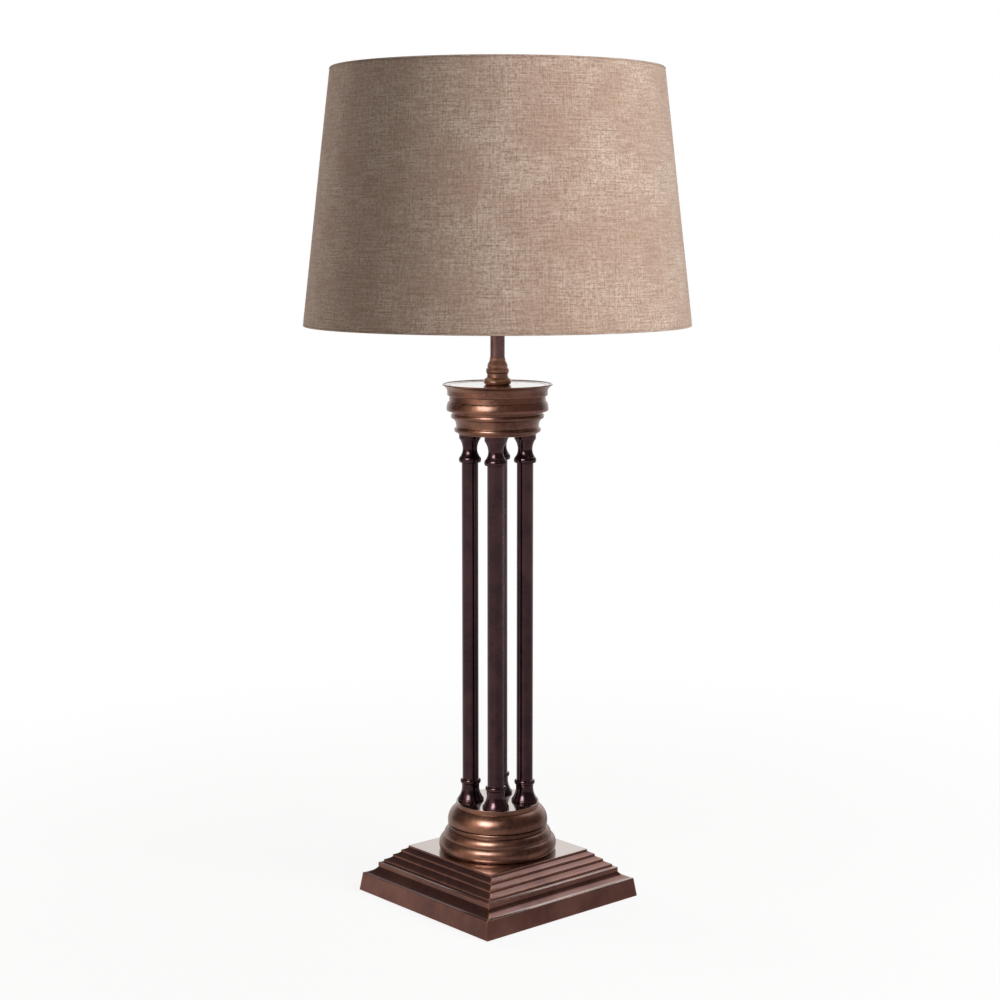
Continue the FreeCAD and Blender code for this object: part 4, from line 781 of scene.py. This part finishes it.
turned("holder_cup_turning", "holder_cup", CUP, brown_bronze, ease=0.2, columns=96)
turned("holder_cap_pressing", "holder_cap", HOLDER_CAP, lamp_brass, ease=0.2, columns=96)
turned("holder_shell_pressing", "holder_shell", upright(HOLDER_SHELL, SHELL_WALL_ABOVE_FLANGE, SHELL_STEPS),
       lamp_brass, ease=0.2, columns=96, wave=shell_thread)
turned("shade_ring_grip", "shade_ring", SHADE_RING, lamp_brass, body="shade_ring",
       ease=0.15, columns=GRIP_TEETH * COLUMNS_PER_TOOTH, wave=milled)


# %% [markdown]
# ## The bulb
#
# The picture doesn't show the bulb, but a hand that reaches into the shade finds one. Its screw
# cap is a thin metal shell with a rounded thread, which is the same wave as before with a larger
# pitch. The glass is one closed shell with a wall: clear glass needs both faces to bend light as
# it should.

# %% Bulb
BULB_PITCH = 3.6 * mm
BULB_THREAD_DEPTH = 0.45 * mm
BULB_THREAD_FOOT = 8.5 * mm
BULB_THREAD_HEAD = 24.0 * mm
PLATE_GRAIN = 0.006
PLATE_RELIEF = 0.00003
DARKER_PLATE = 0.6


def plain_metal(title, tint, dull):
    """Bare plated or drawn metal: a little unevenness in tone and gloss."""
    material, tree, shader, place = start_material(title)
    pale = colour(*tint)
    dark = tuple(value * DARKER_PLATE for value in pale[:3]) + (1.0,)
    uneven = placed(tree, grain, {"Vector": place, "Size": PLATE_GRAIN})
    tone = spread(tree, uneven["Soft"], 0.3, 0.7)
    feed(tree, shader, {"Base Color": mixed(tree, tone, dark, pale), "Metallic": 1.0,
                        "Roughness": times_plus(tree, uneven["Fine"], 0.12, dull),
                        "Normal": raised(tree, uneven["Fine"], PLATE_RELIEF)})
    return material


def glass_material():
    """Clear glass with a trace of dust on it."""
    material, tree, shader, place = start_material("bulb_clear_glass")
    uneven = placed(tree, grain, {"Vector": place, "Size": 0.02})
    dust = spread(tree, uneven["Soft"], 0.35, 0.75, 0.02, 0.09)
    feed(tree, shader, {"Base Color": (1.0, 0.98, 0.95, 1.0), "Roughness": dust,
                        "Transmission Weight": 1.0, "IOR": 1.48})
    return material


def bulb_thread(radius, height, angle):
    """The cap's rounded thread: both faces of the thin shell follow the helix."""
    above = np.clip((height - BULB_THREAD_FOOT) / mm, 0, 1)
    below = np.clip((BULB_THREAD_HEAD - height) / mm, 0, 1)
    return radius - above * below * BULB_THREAD_DEPTH * helix(height, angle, BULB_PITCH)


bulb_metal = plain_metal("bulb_cap_metal", (196, 192, 186), 0.22)
CAP_INNER = 12.75
CAP_STEPS = 60
BULB_CAP = ((CAP_INNER, 5.2), (13.25, 5.7), (13.25, 26.5), (CAP_INNER, 26.5))
cap_profile = upright(BULB_CAP, 1, CAP_STEPS)
cap_profile += tuple((CAP_INNER, height) for height in np.linspace(26.0, 5.7, CAP_STEPS).tolist())
turned("bulb_cap_shell", "bulb_cap", cap_profile, bulb_metal, body="bulb", ease=0.02,
       columns=96, wave=bulb_thread)
BULB_GLASS = (
    (11.65, 21.0), (12.65, 21.0), (12.65, 29.0, -SLIGHT), (20.5, 50.0, SLIGHT), (30.0, 78.0, QUARTER),
    (0.0, 108.0), (0.0, 107.0, -QUARTER), (29.0, 78.0, -SLIGHT), (19.5, 50.0, SLIGHT), (11.65, 29.0))
turned("bulb_glass_shell", "bulb_glass", BULB_GLASS, glass_material(), body="bulb",
       ease=0.1, columns=96)


# %% [markdown]
# ## Linen
#
# The shade is covered in natural linen, a plain weave of uneven threads. Flax swells and thins as
# it is spun, so here and there a thick length, a slub, shows as a short streak along the cloth or
# up it. The weave follows the cloth and not the room, so it reads the piece's own UV map, whose
# unit is the metre. One group makes the tone and the relief, and one linen made with it dresses
# the covering and both hems.

# %% Weave group
SLUB_WIDTH = 1.8
CLOUDS_PER_METRE = 17.0
SLUB_RELIEF = 1.6

slub_weave, entry, leave = new_group("slub_weave", {"Thread Pitch": 0.0009, "Slub Length": 0.03},
                                     ("Thread", "Slub", "Cloud", "Relief"))
flat = add(slub_weave, "ShaderNodeSeparateXYZ", {"Vector": entry["Vector"]}).outputs
round_way = flat["X"]
up_way = flat["Y"]


def streaks(lengthways, crossways, shortening, shift):
    """Noise drawn out along one thread: long one way and about a thread wide the other way."""
    long_part = over(slub_weave, times(slub_weave, lengthways, shortening), entry["Slub Length"])
    thin_part = over(slub_weave, crossways, times(slub_weave, entry["Thread Pitch"], SLUB_WIDTH))
    vector = add(slub_weave, "ShaderNodeCombineXYZ", {"X": long_part, "Y": thin_part, "Z": shift})
    return noise(slub_weave, vector.outputs[0], 1.0, detail=3.0, roughness=0.6)


def thread_wave(value):
    """A sine along one way of the cloth, one wave for two threads."""
    turns = over(slub_weave, value, times(slub_weave, entry["Thread Pitch"], 2.0))
    return sum_of(slub_weave, "SINE", times_plus(slub_weave, turns, 2 * math.pi, 0.0))


weft = streaks(round_way, up_way, 1.0, 0.0)
warp = streaks(up_way, round_way, 1.2, 7.0)
short_weft = streaks(round_way, up_way, 7.0, 13.0)
short_warp = streaks(up_way, round_way, 8.0, 29.0)
crossing = times(slub_weave, thread_wave(round_way), thread_wave(up_way))
over_under = times_plus(slub_weave, crossing, 0.5, 0.5)
cloth_cloud = noise(slub_weave, entry["Vector"], CLOUDS_PER_METRE, detail=5.0, roughness=0.62)
long_slubs = times_plus(slub_weave, weft, 0.27, times(slub_weave, warp, 0.19))
short_slubs = times_plus(slub_weave, short_weft, 0.28, times(slub_weave, short_warp, 0.26))
slubs = sum_of(slub_weave, "ADD", long_slubs, short_slubs)
give(slub_weave, leave, {"Thread": over_under, "Slub": spread(slub_weave, slubs, 0.40, 0.60),
                         "Cloud": spread(slub_weave, cloth_cloud, 0.33, 0.67),
                         "Relief": times_plus(slub_weave, slubs, SLUB_RELIEF, over_under)})


# %% Linen finish
MIDDLE_SHARE = 0.25
DRIFT_REACH = 0.5
GAP_REACH = 0.22
WEAVE_RELIEF = 0.00013


def linen(title, *tints):
    """Natural linen: darker between the threads, paler on the slubs, with slow drifts of tone.

    Its tints are the shaded, the middle, the pale and the warm one.
    """
    material, tree, shader, _ = start_material(title)
    shaded, middle, pale, warm = (colour(*tint) for tint in tints)
    cloth_map = add(tree, "ShaderNodeUVMap", uv_map="cloth").outputs["UV"]
    weave = placed(tree, slub_weave, {"Vector": cloth_map})
    tint = mixed(tree, MIDDLE_SHARE, mixed(tree, weave["Slub"], shaded, pale), middle)
    tint = mixed(tree, times(tree, weave["Cloud"], DRIFT_REACH), tint, warm)
    tint = mixed(tree, spread(tree, weave["Thread"], 0.0, 0.5, GAP_REACH, 0.0), tint, shaded)
    feed(tree, shader, {"Base Color": tint, "Normal": raised(tree, weave["Relief"], WEAVE_RELIEF),
                        "Roughness": spread(tree, weave["Slub"], 0.0, 1.0, 0.92, 0.78),
                        "Sheen Weight": 0.25, "Sheen Roughness": 0.5, "Specular IOR Level": 0.25})
    return material


shade_linen_cloth = linen("shade_linen_cloth", (128, 105, 88), (164, 142, 126), (208, 188, 171),
                          (152, 120, 104))


# %% [markdown]
# ## The shade
#
# The covering is one piece of linen on a stiff liner, cut as part of a flat ring, because a cone
# unrolls to that. Its ends meet in a lapped seam at the back. Pulled over the liner it is taut, but
# cloth is never quite even, so the surface swells by a tenth of a millimetre or two. Each edge is
# turned in over its wire: the hem is a tape of the same linen, and of it only the rounded fold
# shows from outside.

# %% Shade covering
SHADE_BOTTOM = 199.5
SHADE_TOP = 169.5
SHADE_FOOT = 0.5
SHADE_CLOTH_HEIGHT = 259.0
LINEN_THICKNESS = 0.6
SEAM_WIDTH = 12.0 * mm
SEAM_LIFT = 0.45 * mm
SEAM_ANGLE = math.pi / 2
SEAM_FADE = 1.0 * mm
OVER_HEM = 0.4 * mm
UNDER_FOLD = -0.05 * mm
FOLD_CLEARANCE = 1.7 * mm
SWELL = 0.06 * mm
CLOTH_ROWS = 90
CLOTH_COLUMNS = 360
shade_foot_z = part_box("shade_bottom_hem")[0].z
slant = math.hypot(SHADE_BOTTOM - SHADE_TOP, SHADE_CLOTH_HEIGHT) * mm


def cone_radius(height):
    """Outer radius of the linen at a height above the shade's lower edge: a straight taper."""
    share = (height - SHADE_FOOT * mm) / (SHADE_CLOTH_HEIGHT * mm)
    return (SHADE_BOTTOM + (SHADE_TOP - SHADE_BOTTOM) * share) * mm


def cloth_uv(row, column):
    """Metres round the cloth at mid height, and metres up its slant."""
    round_way = column / CLOTH_COLUMNS * 2 * math.pi * (SHADE_BOTTOM + SHADE_TOP) / 2 * mm
    up_way = np.where(row < CLOTH_ROWS, row, 2 * CLOTH_ROWS - 1 - row) / (CLOTH_ROWS - 1) * slant
    return np.stack((round_way, up_way), -1)


def shade_cloth():
    """The covering as a closed thin shell, outer face up and inner face down.

    The outer face is the cone plus small slow swellings, a sum of a few sines of the angle and the
    height, and plus the lap of the seam, which is a step with soft sides. Beside the folds of the
    hems it dips under them.
    """
    angle = SEAM_ANGLE + round_angles(CLOTH_COLUMNS)
    up = np.linspace(0.0, 1.0, CLOTH_ROWS)
    height = ((SHADE_FOOT + SHADE_CLOTH_HEIGHT * np.concatenate((up, up[::-1]))) * mm)[:, None]
    outer = np.concatenate((np.ones(CLOTH_ROWS), np.zeros(CLOTH_ROWS)))[:, None]
    away = np.abs((angle - SEAM_ANGLE + math.pi) % (2 * math.pi) - math.pi) * cone_radius(height)
    lap = SEAM_LIFT * np.clip((SEAM_WIDTH / 2 - away) / SEAM_FADE, 0, 1)
    swell = SWELL * (np.sin(7 * angle + 18 * height) + np.sin(13 * angle - 31 * height)
                     + np.sin(23 * angle + 9 * height))
    top_height = (SHADE_CLOTH_HEIGHT + 2 * SHADE_FOOT) * mm
    near_fold = np.minimum(height, top_height - height) < FOLD_CLEARANCE
    proud = outer * np.where(near_fold, UNDER_FOLD, OVER_HEM + lap + swell)
    radius = cone_radius(height) - (1 - outer) * LINEN_THICKNESS * mm + proud
    return surface("shade_covering", round_grid(radius, shade_foot_z + height, angle), uv=cloth_uv)


covering = shade_cloth()
finish_piece(covering, "shade_linen", shade_linen_cloth, "shade")


# %% Hems
HEM_THICKNESS = 0.5
HEM_WIRE_REACH = 3.2
HEM_FOLD = 1.6
HEM_FLOOR = 0.9
HEM_DEPTH = 5.7
HEM_BEVEL = 0.6
HEM_EASE = 0.25 * mm
HEM_COLUMNS = 360


def hem_tape(name, node, fold_at_top):
    """A folded tape: up the outside, round the fold, and down inside over the wire.

    The profile is a closed loop of arcs about the hem's edge, and the UV map runs round the shade
    and along the profile.
    """
    low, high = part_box(node)
    lean = (SHADE_BOTTOM - SHADE_TOP) / SHADE_CLOTH_HEIGHT
    edge_radius = high.x / mm
    flip = -1 if fold_at_top else 1
    tip = (high.z - low.z) / mm if fold_at_top else 0.0
    inner_face = HEM_DEPTH - HEM_THICKNESS

    def spot(inwards, from_fold):
        """A corner, given by its distance in from the fold's outer face and up from the fold."""
        return edge_radius - inwards - flip * lean * from_fold, tip + flip * from_fold

    corners = [spot(0.0, HEM_FLOOR), spot(0.0, HEM_FOLD), spot(HEM_THICKNESS, HEM_FOLD),
               spot(HEM_THICKNESS, HEM_FLOOR), spot(inner_face, HEM_FLOOR),
               spot(inner_face, HEM_WIRE_REACH), spot(HEM_DEPTH, HEM_WIRE_REACH),
               spot(HEM_DEPTH, HEM_BEVEL), spot(HEM_DEPTH - HEM_BEVEL, 0.0), spot(HEM_BEVEL, 0.0)]
    if fold_at_top:
        corners = corners[::-1]
    profile, _, along = eased_profile(corners, HEM_EASE)

    def tape_uv(row, column):
        """Metres round the tape and metres along its profile."""
        round_way = column / HEM_COLUMNS * 2 * math.pi * edge_radius * mm
        return np.stack((round_way, along[row % len(along)]), -1)

    grid = round_grid(profile.real[:, None], low.z + profile.imag[:, None], round_angles(HEM_COLUMNS))
    piece = surface(name, grid, uv=tape_uv)
    finish_piece(piece, node, shade_linen_cloth, "shade")
    return piece


bottom_hem = hem_tape("shade_bottom_hem_tape", "shade_bottom_hem", fold_at_top=False)
top_hem = hem_tape("shade_top_hem_tape", "shade_top_hem", fold_at_top=True)


# %% [markdown]
# ## Finishes of the small parts
#
# The solids of the inner parts already have the right shape, so they stay and only get a finish:
# blackened steel, plated screws, moulded plastic, glazed china, paper-smooth liner, wool felt.
# Each finish starts from the grain group with its own size and depth.

# %% Small parts' finishes
def plain_finish(title, tint, dull, size, depth, contrast=0.75, **constants):
    """A non-metal with faint unevenness in tone, gloss and relief."""
    material, tree, shader, place = start_material(title)
    pale = colour(*tint)
    dark = tuple(value * contrast for value in pale[:3]) + (1.0,)
    uneven = placed(tree, grain, {"Vector": place, "Size": size})
    tone = times_plus(tree, uneven["Fine"], 0.5, times(tree, uneven["Soft"], 0.5))
    feed(tree, shader, {"Base Color": mixed(tree, spread(tree, tone, 0.35, 0.65), dark, pale),
                        "Roughness": times_plus(tree, uneven["Fine"], 0.15, dull),
                        "Normal": raised(tree, uneven["Fine"], depth), **constants})
    return material


CHINA_GLAZE = {"Coat Weight": 0.6, "Coat Roughness": 0.05}
FELT_NAP = {"Sheen Weight": 0.4}
finishes = {
    "felt": plain_finish("green_black_felt", (44, 46, 42), 0.85, 0.003, 0.0006, 0.5, **FELT_NAP),
    "plate_steel": plain_metal("blackened_steel", (92, 90, 88), 0.42),
    "fastener_steel": plain_metal("zinc_plate", (178, 178, 172), 0.3),
    "bronze": brown_bronze,
    "column_bronze": dark_bronze,
    "holder_brass": lamp_brass,
    "contact_brass": plain_metal("contact_brass", (206, 176, 112), 0.25),
    "dark_plastic": plain_finish("dark_moulding", (38, 34, 32), 0.35, 0.005, 0.00004),
    "pale_plastic": plain_finish("pale_moulding", (224, 220, 208), 0.4, 0.005, 0.00004, 0.92),
    "porcelain": plain_finish("glazed_china", (236, 232, 222), 0.12, 0.01, 0.00003, 0.94, **CHINA_GLAZE),
    "bulb_metal": bulb_metal,
    "filament": plain_finish("filament_yellow", (226, 186, 92), 0.5, 0.002, 0.00003),
    "liner": plain_finish("shade_liner_film", (238, 232, 218), 0.55, 0.02, 0.00005, 0.96),
    "shade_wire": plain_metal("coated_wire", (206, 202, 194), 0.35),
    "flex": plain_finish("flex_jacket", (46, 40, 36), 0.45, 0.004, 0.00005),
}
slot_of_node = {row["node"]: row["material_slot"] for row in frame["record"]["subparts"]}
dressed = 0
for node_name, solid in nodes.items():
    finish = finishes.get(slot_of_node.get(node_name))
    if finish is not None:
        solid.data.materials.clear()
        solid.data.materials.append(finish)
        dressed += 1
print("solids with a finish:", dressed, "of", len(nodes))


# %% [markdown]
# ## A pale studio
#
# The picture is cut out on white. Here the floor and the world are white only to the eye, which
# the Light Path node tells apart, and the light that falls on the lamp stays plain and dim. A
# mirror sees a room instead, because that is what gives bronze its depth: white low down behind
# the lamp and higher up on its right, a warm glow to the left of the camera, dusk everywhere
# else, and a paper floor with a painted shadow: greyer close to the lamp, most of all on its
# right.

# %% World
ROOM_DIM = (0.19, 0.155, 0.155, 1.0)
ROOM_WARM = (1.0, 0.80, 0.62, 1.0)
WORLD_LIGHT = (0.142, 0.114, 0.088, 1.0)
WHITE = (1.0, 1.0, 1.0, 1.0)
world = bpy.data.worlds.new("studio")
bpy.context.scene.world = world
world.use_nodes = True
tree = world.node_tree
way = tree.nodes.new("ShaderNodeTexCoord").outputs["Generated"]


def seen_and_mirrored(tree):
    """Whether a ray comes from the eye, through glass or not, and whether it comes off a gloss."""
    path = tree.nodes.new("ShaderNodeLightPath").outputs
    seen = sum_of(tree, "MAXIMUM", path["Is Camera Ray"], path["Is Transmission Ray"])
    return seen, path["Is Glossy Ray"]


def faded(value, low, high):
    """1 below low, 0 above high, and a smooth fall between them."""
    return spread(tree, value, low, high, 1.0, 0.0)


facing = dot(tree, way, towards_camera)
leftward = dot(tree, way, -view_right)
upward = dot(tree, way, (0.0, 0.0, 1.0))
warm = times(tree, spread(tree, leftward, 0.1, 0.8), spread(tree, facing, 0.0, 0.45))
low_white = faded(upward, 0.2, 0.4)
high_white = times(tree, faded(upward, 0.6, 0.85), faded(leftward, 0.0, 0.22))
backdrop = times(tree, faded(facing, -0.92, -0.45), sum_of(tree, "MAXIMUM", low_white, high_white))
mirror_tone = mixed(tree, backdrop, mixed(tree, warm, ROOM_DIM, ROOM_WARM), WHITE)
seen, mirrored = seen_and_mirrored(tree)
sky = mixed(tree, seen, mixed(tree, mirrored, WORLD_LIGHT, mirror_tone), WHITE)
feed(tree, tree.nodes["Background"], {"Color": sky})
print("world: white to the eye, and as light", WORLD_LIGHT[:3])

# %% Floor
FLOOR_RADIUS = 6.0
FLOOR_NEAR = 0.25
FLOOR_FAR = 1.2
FLOOR_RINGS = 14
FLOOR_COLUMNS = 96
floor_radii = np.concatenate(((0.0,), np.geomspace(0.05, FLOOR_RADIUS, FLOOR_RINGS)))[::-1, None]
floor = surface("studio_floor", round_grid(floor_radii, 0 * floor_radii, round_angles(FLOOR_COLUMNS)),
                wrap_rows=False)
merge_poles(floor)
paper, tree, shader, place = start_material("studio_paper")
seen, mirrored = seen_and_mirrored(tree)
distance = add(tree, "ShaderNodeVectorMath", {0: place}, operation="LENGTH").outputs["Value"]
to_the_eye = times(tree, spread(tree, distance, FLOOR_NEAR, FLOOR_FAR, 0.88, 1.0), seen)
# Painted shadow: in mirrors the floor glows greyer close to the lamp, most of all on its right, and paler
# further off.
to_the_left = spread(tree, dot(tree, place, -view_right), -FLOOR_NEAR, FLOOR_NEAR)
near_painted_shadow_tone = mixed(tree, to_the_left, colour(182, 176, 176), colour(226, 220, 216))
far_off = spread(tree, distance, FLOOR_NEAR, 2 * FLOOR_FAR)
mirrored_painted_shadow_floor = mixed(tree, far_off, near_painted_shadow_tone, colour(232, 226, 226))
glow = add(tree, "ShaderNodeEmission", {"Color": mixed(tree, mirrored, WHITE, mirrored_painted_shadow_floor)})
fibres = placed(tree, grain, {"Vector": place, "Size": 0.01})
paper_tone = mixed(tree, fibres["Soft"], colour(240, 240, 238), colour(246, 246, 244))
feed(tree, shader, {"Base Color": paper_tone, "Roughness": 0.9, "Specular IOR Level": 0.1})
blend = add(tree, "ShaderNodeMixShader", {0: sum_of(tree, "MAXIMUM", to_the_eye, mirrored),
                                          1: shader.outputs[0], 2: glow.outputs[0]})
feed(tree, tree.nodes["Material Output"], {"Surface": blend.outputs[0]})
floor.data.materials.append(paper)
print("floor radius", FLOOR_RADIUS, "m")


# %% [markdown]
# ## Soft boxes
#
# The right side of the shade is lighter than the left, so the broad light stands on the right, and
# a weak one behind on the left lifts that edge: these two light cloth and stay out of mirrors. The
# small bright patches on the pedestal and the capital sit a little left of the middle and high up,
# which tells of a box there, and the bright treads on the right tell of one behind: those two show
# in the metal alone.

# %% Lights
# Each box has its title, its degrees to the right of the camera, its elevation, its distance and
# size in metres, its watts and tint, whether it lights cloth and whether it shows in the metal.
SOFT_BOXES = (
    ("broad_right", 52.0, 26.0, 2.2, (1.5, 1.8), 58.0, (0.97, 0.985, 1.0), True, False),
    ("narrow_left", -30.0, 31.0, 2.0, (1.0, 1.0), 47.0, (0.82, 0.93, 1.0), False, True),
    ("low_left", -124.0, 16.0, 2.2, (1.0, 1.6), 24.0, (1.0, 0.96, 0.94), True, False),
    ("rear_right", 150.0, 45.0, 2.4, (2.3, 1.2), 13.0, (0.80, 0.92, 1.0), False, True),
)
AIM = Vector((0.0, 0.0, 0.45))
for title, aside, elevation, away, size, power, tint, lights_cloth, shows_in_metal in SOFT_BOXES:
    light = bpy.data.lights.new(title, "AREA")
    light.shape = "RECTANGLE"
    light.size, light.size_y = size
    light.energy = power
    light.color = tint
    box = bpy.data.objects.new(title, light)
    bpy.context.scene.collection.objects.link(box)
    box.visible_diffuse = lights_cloth
    box.visible_glossy = shows_in_metal
    heading = VIEW_AZIMUTH + math.radians(aside)
    rise = math.radians(elevation)
    level_reach = math.cos(rise)
    direction = Vector((math.sin(heading) * level_reach, -math.cos(heading) * level_reach, math.sin(rise)))
    box.location = AIM + direction * away
    box.rotation_euler = direction.to_track_quat("Z", "Y").to_euler()
    print(title, "at", [round(value, 2) for value in box.location])
